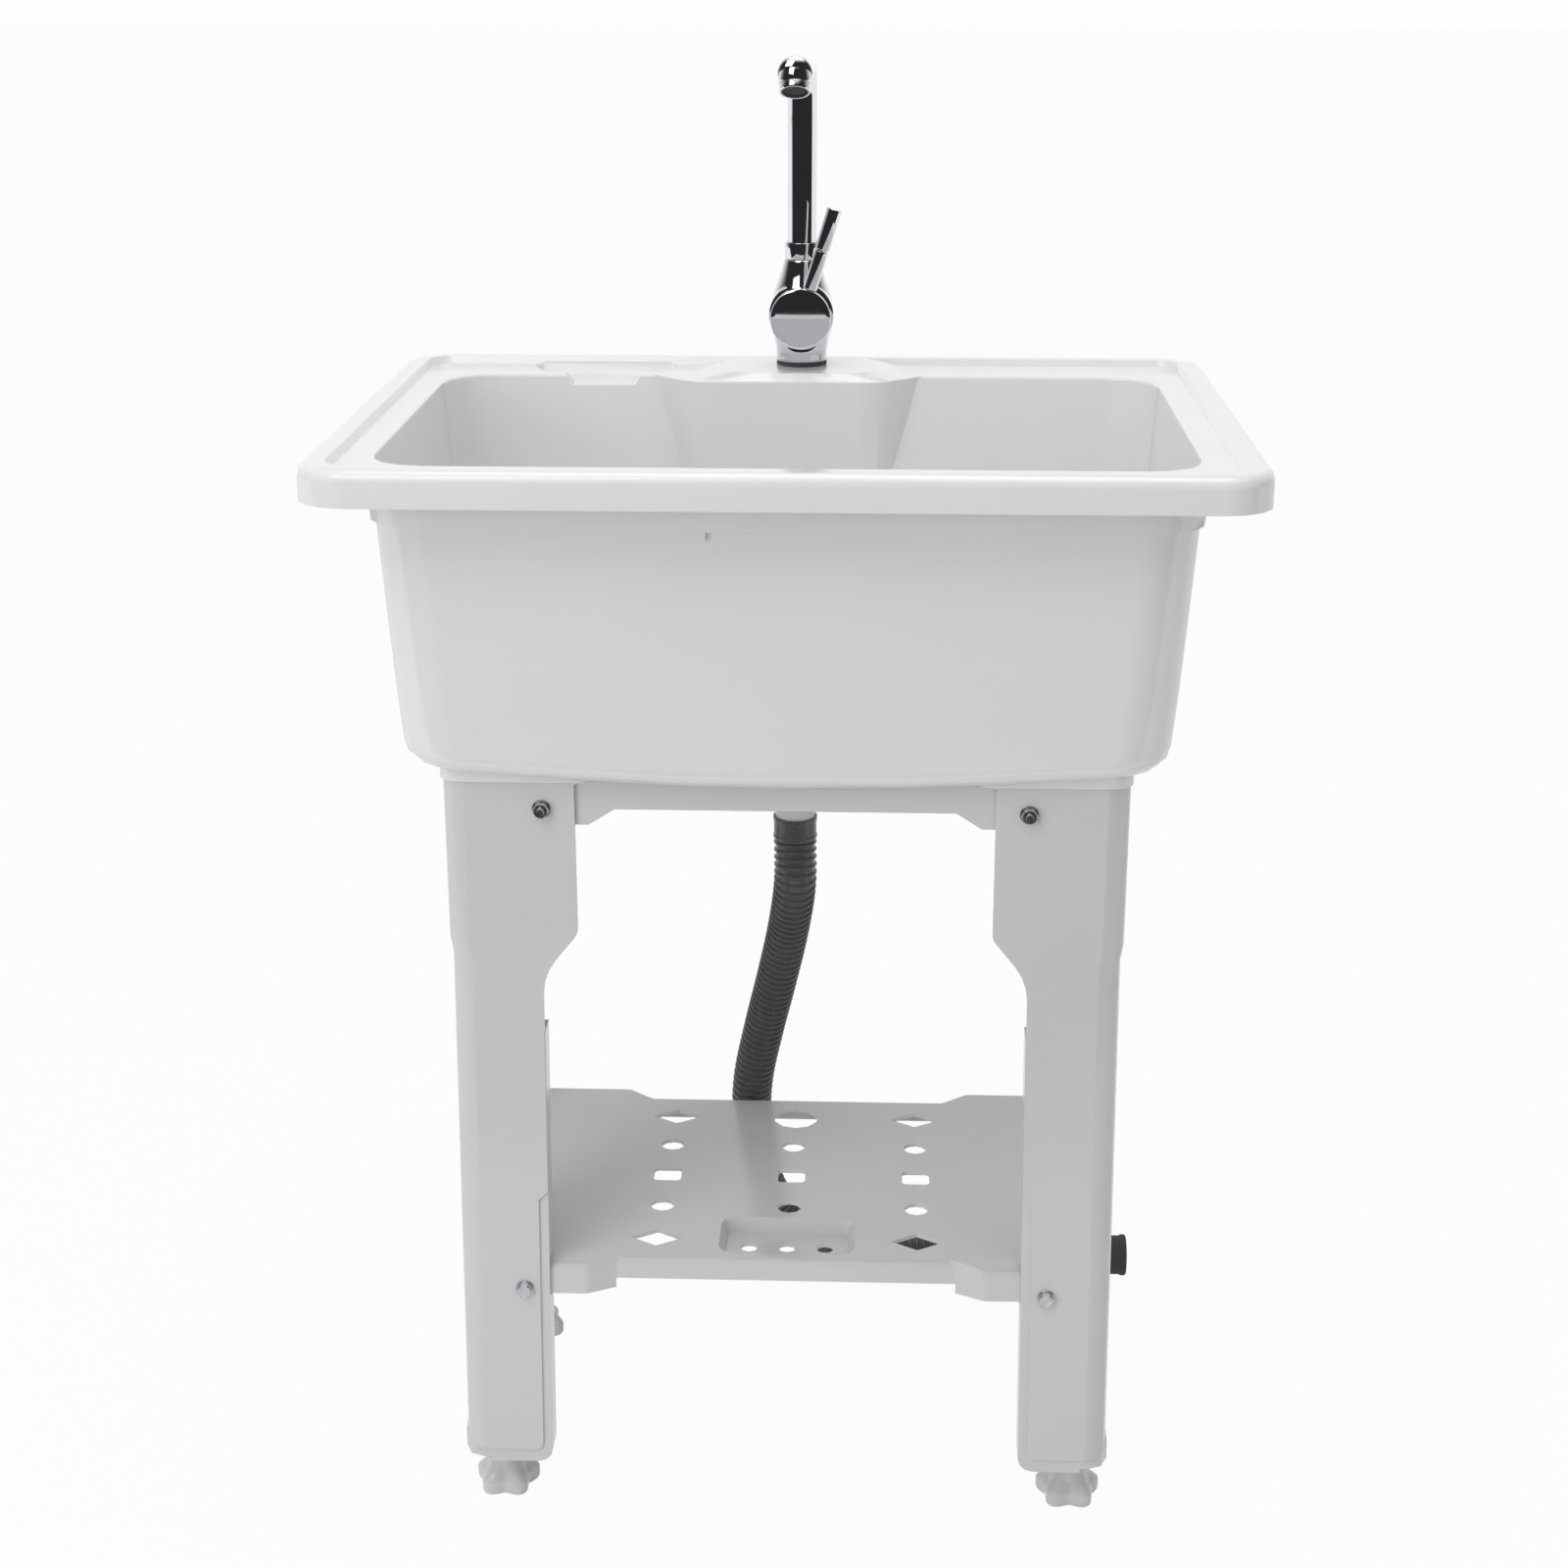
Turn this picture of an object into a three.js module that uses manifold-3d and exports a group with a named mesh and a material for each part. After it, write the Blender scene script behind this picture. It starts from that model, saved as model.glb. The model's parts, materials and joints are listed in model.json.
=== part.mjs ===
// Utility laundry sink: a deep moulded tub on four channel legs, with a perforated shelf, a single-lever
// swivel tap, a basket strainer and a ribbed waste hose.
// Lengths are millimetres. +Z is up, +Y is the back, and the origin is on the floor under the rim's middle.

import * as THREE from 'three';
import { mergeVertices } from 'three/addons/utils/BufferGeometryUtils.js';
import Module from 'manifold-3d';

const wasm = await Module();
wasm.setup();

// ---------------------------------------------------------------- driving dimensions

const GAP = 0.3; // clearance left between pieces that touch

// Tub
const RIM_WIDTH = 620;
const RIM_DEPTH = 460;
const RIM_TOP = 800;
const RIM_CORNER = 35;
const RIM_EDGE_ROUND = 8;
const FASCIA_HEIGHT = 24;
const FASCIA_WALL = 4;
const LIP_WIDTH = 18;
const LEDGE_DROP = 5;
const LEDGE_SLOPE = 3;
const DECK_THICKNESS = 5;
const BODY_WIDTH = 547.5; // at the height of the rim's top, before the draft draws it in
const BODY_FRONT = -189.8;
const BODY_BACK = 164.2;
const BODY_CORNER = 42;
const BODY_WALL = 5;
const SIDE_DRAFT = 0.063; // run inward for each millimetre down
const FRONT_DRAFT = 0.0357;
const BACK_DRAFT = 0.064;
const TUB_BOTTOM = 574;
const TUB_EDGE_ROUND = 14;
const FLOOR_THICKNESS = 6;
const FLOOR_RISE = 10.5; // how far the floor climbs from its middle to FLOOR_RISE_REACH
const FLOOR_RISE_REACH = 230;
const FLOOR_RISE_TOP = 66; // height over the bottom where the climb has faded out of the walls
const FLOOR_FALL = 3;
const BOWL_LIP_ROUND = 3;
const BAND_PROUD = 3.5;
const BAND_HEIGHT = 17;
const BAND_TOP_DROP = 29; // from the rim's top down to the band's top
const NECK_FOOT_PROUD = 7.3;
const NECK_PROUD = 11;
const LOW_BAND_DROP = 5.5;
const LOW_BAND_LEFT = -235;
const LOW_BAND_RIGHT = -50;
const PAD_BOTTOM = 576;
const PAD_LENGTH = 105;
const PAD_DEPTH = 84;
const PAD_OVERHANG = 1.7;
const PAD_CORNER = 9;

// Recess in the tub's back wall that makes room for the tap's fixing
const TAP_BAY_CENTRE = -10;
const TAP_BAY_HALF_WIDTH = 72;
const TAP_BAY_FLARE = 34; // how far each side runs out between the bay's front and the back wall
const TAP_BAY_TAPER = 12;
const TAP_BAY_FRONT = 128;
const TAP_BAY_HEIGHT = 175;
const TAP_BAY_LEAN = 25;
const TAP_BAY_CORNER = 38;
const TAP_PAD_HALF_WIDTH = 58;
const TAP_PAD_FRONT = 142;
const TAP_PAD_CORNER = 24;
const TAP_PAD_FRONT_RUN = 8;
const TAP_PAD_SIDE_RUN = 24;

// Soap recess in the deck and its drain notch
const SOAP_FLOOR_DROP = 13;
const SOAP_TRAY_WALL = 4;
const SOAP_FRONT = 171;
const SOAP_BACK = 210;
const SOAP_LEFT = -212;
const SOAP_RIGHT = -94;
const SOAP_SKEW = 14;
const SOAP_SLOPE = 4;
const SOAP_CORNER = 7;
const NOTCH_LEFT = -184;
const NOTCH_RIGHT = -118;
const NOTCH_SLOPE = 9;

// Waste
const DRAIN_Y = 50;
const DRAIN_SEAT_RADIUS = 49;
const DRAIN_HOLE_RADIUS = 28;
const STRAINER_FLANGE_RADIUS = 45;
const STRAINER_PLATE = 1.8;
const THROAT_RADIUS = 27;
const THROAT_WALL = 2.5;
const THROAT_LENGTH = 32;
const GASKET_THICKNESS = 3;
const GASKET_RADIUS = 41;
const DRAIN_NUT_RADIUS = 38;
const DRAIN_NUT_HEIGHT = 9;
const DRAIN_NUT_LUGS = 6;
const DRAIN_NUT_LUG = 3;
const TAIL_CAP_WALL = 4;
const TAIL_CAP_OVERLAP = 10;
const TAIL_CONE_HEIGHT = 20;
const TAIL_RADIUS = 15.2;
const TAIL_BORE = 12.9;
const BASKET_HOLES = 6;
const BASKET_HOLE_RADIUS = 2.6;
const BASKET_WALL = 1.8;
const BASKET_KNOB_RADIUS = 4;
const BASKET_KNOB_HEIGHT = 12;

// Hose
const HOSE_CREST_RADIUS = 16.5;
const HOSE_RIB_DEPTH = 1.8;
const HOSE_BORE_RADIUS = 12.5;
const HOSE_RIB_PITCH = 6;
const HOSE_SIDES = 8;
const HOSE_RIBS_PER_BORE_RING = 5;
const HOSE_TOP = 459.7;
const CUFF_HEIGHT = 18;
const CUFF_RADIUS = 16.8;
const END_CUFF_LENGTH = 40;
const END_CUFF_RADIUS = 17.8;
const END_CUFF_BEAD = 2;
// Middle of the hose, from under the tub to the floor behind the right legs
const HOSE_POINTS = [
  [0, 50, HOSE_TOP],
  [0, 50, 424],
  [-6, 72, 376],
  [-16, 94, 324],
  [-27.5, 116, 270],
  [-36.5, 129, 222],
  [-38.5, 134, 190],
  [-35, 138, 146],
  [-22, 152, 98],
  [8, 174, 52],
  [56, 196, 24.5],
  [108, 205, 18.2],
  [160, 206, 18],
  [205, 206, 18],
  [244, 206, 18],
];

// Frame
const FRAME_HALF_WIDTH = 233;
const FRAME_HALF_DEPTH = 152;
const FRAME_MIDDLE = -16;
const LEG_WALL = 3;
const LEG_UPPER_WIDTH = 91;
const LEG_UPPER_DEPTH = 80;
const LEG_LOWER_WIDTH = 66.2; // at SHOULDER_BOTTOM, before the drift
const LEG_LOWER_DEPTH = 60;
const BACK_LEG_UPPER_WIDTH = 52.5; // the back legs are narrower and stay behind the front ones
const BACK_LEG_LOWER_WIDTH = 19.5;
const LEG_CORNER = 16;
const LEG_STEP = 2; // how far the side face is set in below the shoulder
const LEG_STEP_TOP = 458;
const LEG_STEP_HEIGHT = 12;
const LEG_SPLAY = 0.0128; // run outward for each millimetre down below the step
const SHOULDER_TOP = 466;
const SHOULDER_HEIGHT = 62;
const SHOULDER_ROUND = 11;
const SHOULDER_FILLET = 42;
const FACE_BOTTOM = 55;
const FACE_CORNER = 6;
const BORDER_WIDTH = 6.8;
const BORDER_SETBACK = 1.8;
const BORDER_TOP = 268;
const FLANGE_TOP = 392;
const RETURN_DEPTH = 22;
const BASE_BOTTOM = 44;
const BASE_TOP = 60;
const BASE_DEPTH = 62;
const BASE_FLARE = 1.5;
const BASE_ROUND = 11;
const TOP_WEB = 3;

// Aprons
const APRON_THICKNESS = 3;
const APRON_BOTTOM = 555.8;
const APRON_END_BOTTOM = 544.6;
const APRON_END_REACH = 9;
const APRON_GUSSET_RUN = 17.5;
const APRON_TUB_GAP = 0.5;

// Shelf
const SHELF_TOP = 208;
const SHELF_PLATE = 3;
const SHELF_TAB_BOTTOM = 183.5;
const SHELF_SKIRT_BOTTOM = 191;
const SHELF_EDGE_ROUND = 5;
const SHELF_TAB_LENGTH = 90; // in from the frame's outer side face
const SHELF_TAB_SLOPE = 20;
const SHELF_FRONT_SCALLOP = 10.5;
const SHELF_BACK_SCALLOP = 17;
const HOLE_PITCH_X = 95.5;
const HOLE_PITCH_Y = 50;
const HOLE_FRONT_ROW = -122;
const BIG_HOLE_RADIUS = 17.8;
const SMALL_HOLE_RADIUS = 9.25;
const SQUARE_HOLE = 21;
const DIAMOND_LENGTH = 39;
const DIAMOND_DEPTH = 25;
const POCKET_WIDTH = 105;
const POCKET_FRONT = -146;
const POCKET_BACK = -86;
const POCKET_DROP = 10;
const POCKET_CORNER = 13;
const POCKET_SLOPE = 5;
const POCKET_HOLE_RADIUS = 6.8;
const POCKET_HOLE_PITCH = 28;

// Fasteners
const BOLT_RADIUS = 3;
const BOLT_AF_RADIUS = 5.8; // across the corners of the hexagon, halved
const HEAD_HEIGHT = 4;
const NUT_HEIGHT = 5;
const WASHER_RADIUS = 6.4;
const WASHER_THICKNESS = 1.2;
const UPPER_BOLT_INSET = 68.7; // in from the frame's outer side face
const UPPER_BOLT_Z = 557.1;
const BACK_BOLT_INSET = 31;
const SIDE_BOLT_Y = 34; // in from the back face, on the back legs' side plates
const LOWER_BOLT_INSET = 45.6;
const LOWER_BOLT_Z = 190;
const BOLT_PROTRUSION = 2.6;
const BOSS_RADIUS = 9;

// Levelling feet
const FOOT_INSET = 21; // in from the frame's outer side face
const BACK_FOOT_INSET = 14;
const FOOT_Y = 112; // from the frame's middle
const FOOT_RADIUS = 21.3;
const FOOT_PETALS = 5;
const PETAL_STEPS = 4; // points drawn round each petal
const FOOT_PETAL_DEPTH = 0.15; // share of the radius
const FOOT_PETAL_TOP = 14;
const FOOT_NECK_RADIUS = 11.6;
const STEM_RADIUS = 5;
const STEM_LENGTH = 44;
const BUSH_RADIUS = 10;
const BUSH_FLANGE_RADIUS = 12;
const BUSH_FLANGE = 3;

// Tap
const TAP_Y = 188;
const TAP_HOLE_RADIUS = 17.5;
const BASE_RING_RADIUS = 19.3;
const BASE_RING_HEIGHT = 2.6;
const TAP_BASE_RADIUS = 20;
const TAP_BULGE_RADIUS = 24.8;
const TAP_TOP_RADIUS = 13.6;
const TAP_AXIS_HEIGHT = 39; // cartridge axis over the deck
const TAP_BODY_HEIGHT = 80;
const SPOUT_SOCKET_DEPTH = 20;
const COLLAR_HEIGHT = 12.5;
const COLLAR_RADIUS = 13.3;
const SPOUT_RADIUS = 11.1;
const SPOUT_HEAD_RADIUS = 12.4;
const SPOUT_AXIS_HEIGHT = 225; // arm's axis over the deck
const SPOUT_REACH = 163;
const SPOUT_BEND = 24;
const SPOUT_DOME = 6; // how far the head's end bulges
const NOZZLE_TILT = THREE.MathUtils.degToRad(28);
const NOZZLE_RADIUS = 11.2;
const NOZZLE_LENGTH = 8;
const AERATOR_RADIUS = 10.9;
const AERATOR_WALL = 1.8;
const AERATOR_LENGTH = 5;
const AERATOR_SPIGOT_RADIUS = 7.4;
const AERATOR_SPIGOT = 4;
const AERATOR_BORE = 5;
const HOUSING_BALL_RADIUS = 21;
const PIVOT_SETBACK = 13; // from the cartridge pivot forward of the tap's axis
const HOUSING_FRONT = 11; // ball is cut flat this far in front of the pivot
const BULGE_FRONT = 3.8; // bulge starts this far in front of the pivot
const CARTRIDGE_BORE = 16;
const CARTRIDGE_LENGTH = 17.7;
const CARTRIDGE_NUT_LENGTH = 6.5;
const CARTRIDGE_NUT_BORE = 9.2;
const CARTRIDGE_FRONT = 3; // front of the cartridge behind the pivot
const ROTOR_RADIUS = 8.9;
const ROTOR_DEPTH = 8;
const ROTOR_FRONT = 3; // rotor reaches this far in front of the pivot
const ROTOR_SLOT_HEIGHT = 12.6;
const SPINDLE_RADIUS = 4;
const SPINDLE_END = 5; // spindle ends this far behind the pivot
const CAP_RADIUS = 23;
const CAP_FRONT = 25;
const CAP_THICKNESS = 12;
const CAP_EDGE_ROUND = 1.6;
const CAP_CLEARANCE = 0.6;
const LEVER_RADIUS = 5.6;
const LEVER_LENGTH = 62;
const LEVER_LIFT = THREE.MathUtils.degToRad(20); // how far the lever tips forward
const LEVER_REST_ANGLE = THREE.MathUtils.degToRad(17.4);
const LEVER_GROOVE = 0.7;
const LEVER_GROOVE_WIDTH = 1.6;
const LEVER_SPIGOT_RADIUS = 3;
const LEVER_SPIGOT = 4;
const SHANK_RADIUS = 16;
const SHANK_BORE = 12.4;
const SHANK_LENGTH = 62;
const SHANK_SOCKET = 12;
const DECK_WASHER_RADIUS = 28;
const DECK_WASHER_THICKNESS = 3;
const LOCK_NUT_RADIUS = 25;
const LOCK_NUT_HEIGHT = 10;
const INLET_RADIUS = 5;
const INLET_SPACING = 5.8;
const INLET_SPREAD = 20;
const INLET_SOCKET = 6;
const INLET_LENGTH = 128;
const INLET_STEPS = 10;
const NIPPLE_RADIUS = 9;
const NIPPLE_LENGTH = 15;

// Facets
const CORNER_STEPS = 4;
const BODY_SIDE_STEPS = 6;
const EDGE_STEPS = 3;
const LEG_CORNER_STEPS = 3;
const FINE_STEPS = 2; // for arcs a few millimetres across
const BEND_STEPS = 6;
const PROFILE_STEPS = 9;
const DOME_STEPS = 3;
const TAP_SIDES = 24;
const ROUND_SIDES = 16;
const SMALL_SIDES = 10;
const WASHER_SIDES = 8;
const BOLT_SIDES = 6;

// ---------------------------------------------------------------- shape helpers

const { Vector2, Vector3 } = THREE;

// Signed volume of an indexed closed mesh; negative when its faces point inward.
function signedVolume(geometry) {
  const position = geometry.getAttribute('position');
  const index = geometry.getIndex();
  const [a, b, c] = [new Vector3(), new Vector3(), new Vector3()];
  let sum = 0;
  for (let i = 0; i < index.count; i += 3) {
    a.fromBufferAttribute(position, index.getX(i));
    b.fromBufferAttribute(position, index.getX(i + 1));
    c.fromBufferAttribute(position, index.getX(i + 2));
    sum += a.dot(b.cross(c));
  }
  return sum / 6;
}

// Merged, outward-facing copy of a closed geometry that holds positions only.
function closed(geometry) {
  const bare = geometry.clone();
  bare.deleteAttribute('normal');
  bare.deleteAttribute('uv');
  const merged = mergeVertices(bare, 1e-4);
  if (signedVolume(merged) < 0) {
    const index = merged.getIndex();
    for (let i = 0; i < index.count; i += 3) {
      const first = index.getX(i);
      index.setX(i, index.getX(i + 1));
      index.setX(i + 1, first);
    }
  }
  return merged;
}

function solid(geometry) {
  const merged = closed(geometry);
  return new wasm.Manifold(new wasm.Mesh({
    numProp: 3,
    vertProperties: new Float32Array(merged.getAttribute('position').array),
    triVerts: new Uint32Array(merged.getIndex().array),
  }));
}

function geometryOf(body) {
  const { vertProperties, triVerts } = body.getMesh();
  const geometry = new THREE.BufferGeometry();
  geometry.setAttribute('position', new THREE.BufferAttribute(vertProperties, 3));
  geometry.setIndex(new THREE.BufferAttribute(triVerts, 1));
  return geometry;
}

function joined(...geometries) {
  return geometryOf(geometries.map(solid).reduce((whole, next) => whole.add(next)));
}

function cut(base, ...tools) {
  return geometryOf(tools.map(solid).reduce((rest, tool) => rest.subtract(tool), solid(base)));
}

function common(first, second) {
  return geometryOf(solid(first).intersect(solid(second)));
}

// Closed polygon whose corners, given as [x, y, radius], are rounded.
function outline(corners, steps = CORNER_STEPS) {
  const points = [];
  corners.forEach(([x, y, radius = 0], i) => {
    const corner = new Vector2(x, y);
    if (radius === 0) {
      points.push(corner);
      return;
    }
    const toPrevious = new Vector2(...corners.at(i - 1)).sub(corner).normalize();
    const toNext = new Vector2(...corners[(i + 1) % corners.length]).sub(corner).normalize();
    const half = Math.acos(THREE.MathUtils.clamp(toPrevious.dot(toNext), -1, 1)) / 2;
    const middle = toPrevious.clone().add(toNext).normalize();
    const centre = corner.clone().addScaledVector(middle, radius / Math.sin(half));
    const start = corner.clone().addScaledVector(toPrevious, radius / Math.tan(half)).sub(centre);
    const turn = Math.sign(toPrevious.cross(toNext)) * (Math.PI - 2 * half);
    for (let k = 0; k <= steps; k++) {
      const angle = start.angle() - (turn * k) / steps;
      points.push(new Vector2(Math.cos(angle), Math.sin(angle)).multiplyScalar(radius).add(centre));
    }
  });
  return points;
}

function rectangle(left, right, front, back, corner = 0, steps = CORNER_STEPS) {
  return outline([[left, front, corner], [right, front, corner], [right, back, corner],
    [left, back, corner]], steps);
}

// Rectangle's points with its front and back runs split into equal parts.
function withLongSidesSplit(points, arcPoints, parts) {
  const result = [];
  points.forEach((point, i) => {
    result.push(point);
    const corner = Math.floor(i / arcPoints);
    if (i % arcPoints === arcPoints - 1 && corner % 2 === 0) {
      const next = points[(i + 1) % points.length];
      for (let k = 1; k < parts; k++) result.push(point.clone().lerp(next, k / parts));
    }
  });
  return result;
}

function ringAt(points, z) {
  return points.map(({ x, y }) => new Vector3(x, y, z));
}

// Closed skin through rings of equal point counts, capped flat at both ends.
function loft(rings) {
  const count = rings[0].length;
  const positions = rings.flat().flatMap((point) => point.toArray());
  const faces = [];
  for (let ring = 0; ring < rings.length - 1; ring++) {
    for (let i = 0; i < count; i++) {
      const j = (i + 1) % count;
      const low = ring * count;
      const high = low + count;
      faces.push(low + i, low + j, high + j, low + i, high + j, high + i);
    }
  }
  const capOf = (ring) => THREE.ShapeUtils.triangulateShape(
    ring.map(({ x, y }) => new Vector2(x, y)), []);
  const last = (rings.length - 1) * count;
  for (const [a, b, c] of capOf(rings[0])) faces.push(a, c, b);
  for (const [a, b, c] of capOf(rings.at(-1))) faces.push(last + a, last + b, last + c);
  const geometry = new THREE.BufferGeometry();
  geometry.setAttribute('position', new THREE.Float32BufferAttribute(positions, 3));
  geometry.setIndex(faces);
  return closed(geometry);
}

// Outline in the XY plane, raised from one height to another.
function slab(points, bottom, top) {
  const geometry = new THREE.ExtrudeGeometry(new THREE.Shape(points),
    { depth: top - bottom, bevelEnabled: false });
  return geometry.translate(0, 0, bottom);
}

// Outline in the XZ plane, extruded in Y between two distances.
function upright(points, near, far) {
  const geometry = new THREE.ExtrudeGeometry(new THREE.Shape(points),
    { depth: far - near, bevelEnabled: false });
  return geometry.rotateX(Math.PI / 2).translate(0, far, 0);
}

// Outline of [radius, height] points turned about the Z axis.
function turned(profile, sides = ROUND_SIDES) {
  const points = profile.map(([radius, height]) => new Vector2(radius, height));
  const onAxis = profile[0][0] === 0 && profile.at(-1)[0] === 0;
  if (!onAxis) points.push(points[0].clone());
  return closed(new THREE.LatheGeometry(points, sides).rotateX(Math.PI / 2));
}

function rod(radius, bottom, top, sides = ROUND_SIDES) {
  return turned([[0, bottom], [radius, bottom], [radius, top], [0, top]], sides);
}

function tube(outer, inner, bottom, top, sides = ROUND_SIDES) {
  return turned([[inner, bottom], [outer, bottom], [outer, top], [inner, top]], sides);
}

function block(left, right, front, back, bottom, top) {
  return new THREE.BoxGeometry(right - left, back - front, top - bottom)
    .translate((left + right) / 2, (front + back) / 2, (bottom + top) / 2);
}

function hexagon(bottom, top) {
  return rod(BOLT_AF_RADIUS, bottom, top, 6);
}

// Turns a shape built along +Z so that it points along -Y, the tap cartridge's direction.
function facingFront(geometry) {
  return geometry.rotateX(Math.PI / 2);
}

// ---------------------------------------------------------------- scene

const sink = new THREE.Group();
sink.name = 'utility_laundry_sink';

function finish(color, roughness, metalness = 0) {
  return () => new THREE.MeshStandardMaterial({ color, roughness, metalness });
}

const glossWhite = finish(0xe9eaee, 0.18);
const satinWhite = finish(0xd6d6db, 0.42);
const chrome = finish(0xd8dade, 0.06, 1);
const brass = finish(0xc4a35a, 0.35, 1);
const zinc = finish(0x8d9095, 0.4, 1);
const steel = finish(0xc2c4c8, 0.25, 1);
const greyVinyl = finish(0x47484b, 0.5);
const blackRubber = finish(0x17171a, 0.6);
const ceramicWhite = finish(0xf1f0ea, 0.4);

function add(name, geometry, material, parent = sink) {
  const mesh = new THREE.Mesh(closed(geometry), material());
  mesh.name = name;
  parent.add(mesh);
  return mesh;
}

// ---------------------------------------------------------------- tub

const FASCIA_BOTTOM = RIM_TOP - FASCIA_HEIGHT;
const LEDGE = RIM_TOP - LEDGE_DROP;
const DECK_UNDERSIDE = LEDGE - DECK_THICKNESS;
const ABOVE_RIM = RIM_TOP + 1;

// Rounded rectangle of the rim, drawn in by an inset.
function rimRing(inset, z) {
  const x = RIM_WIDTH / 2 - inset;
  const y = RIM_DEPTH / 2 - inset;
  return ringAt(rectangle(-x, x, -y, y, Math.max(RIM_CORNER - inset, 2)), z);
}

// Rounded rectangle of the drafted body at a height, drawn in by an inset.
function bodyPlan(height, inset) {
  const below = RIM_TOP - height;
  const x = BODY_WIDTH / 2 - SIDE_DRAFT * below - inset;
  const front = BODY_FRONT + FRONT_DRAFT * below + inset;
  const back = BODY_BACK - BACK_DRAFT * below - inset;
  const points = rectangle(-x, x, front, back, Math.max(BODY_CORNER - inset, 4));
  return withLongSidesSplit(points, CORNER_STEPS + 1, BODY_SIDE_STEPS);
}

function floorRise(x) {
  return FLOOR_RISE * (x / FLOOR_RISE_REACH) ** 2;
}

function bodyRing(height, inset, riseShare = 0) {
  return bodyPlan(height, inset).map(({ x, y }) => new Vector3(x, y, height + riseShare * floorRise(x)));
}

// Skin of the body: drafted walls, a rounded bottom edge and a floor that falls to the drain.
function bodyForm(inset, top, bottom, edgeRound, topRings = []) {
  const rings = [...topRings, bodyRing(top, inset), bodyRing(TUB_BOTTOM + FLOOR_RISE_TOP, inset)];
  for (let k = 0; k <= EDGE_STEPS; k++) {
    const turn = (k / EDGE_STEPS) * (Math.PI / 2);
    const height = bottom + edgeRound * (1 - Math.sin(turn));
    rings.push(bodyRing(height, inset + edgeRound * (1 - Math.cos(turn)), 1));
  }
  const drain = new Vector3(0, DRAIN_Y, bottom - FLOOR_FALL);
  rings.push(rings.at(-1).map((point) => {
    const spoke = point.clone().sub(drain).setZ(0).setLength(DRAIN_SEAT_RADIUS);
    return spoke.add(drain);
  }));
  return loft(rings);
}

// Bay pushed into the back wall under the tap, grown by an offset.
function tapBay(offset, top) {
  const lowest = RIM_TOP - TAP_BAY_HEIGHT;
  const planAt = (height) => {
    const down = (RIM_TOP - height) / TAP_BAY_HEIGHT;
    const half = TAP_BAY_HALF_WIDTH - TAP_BAY_TAPER * down + offset;
    const front = TAP_BAY_FRONT + TAP_BAY_LEAN * down - offset;
    const flareDepth = BODY_BACK - TAP_BAY_FRONT;
    const reach = half + TAP_BAY_FLARE * (RIM_DEPTH - front) / flareDepth;
    return outline([
      [TAP_BAY_CENTRE - half, front, TAP_BAY_CORNER],
      [TAP_BAY_CENTRE + half, front, TAP_BAY_CORNER],
      [TAP_BAY_CENTRE + reach, RIM_DEPTH],
      [TAP_BAY_CENTRE - reach, RIM_DEPTH],
    ]);
  };
  return loft([ringAt(planAt(top), top), ringAt(planAt(lowest), lowest)]);
}

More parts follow.
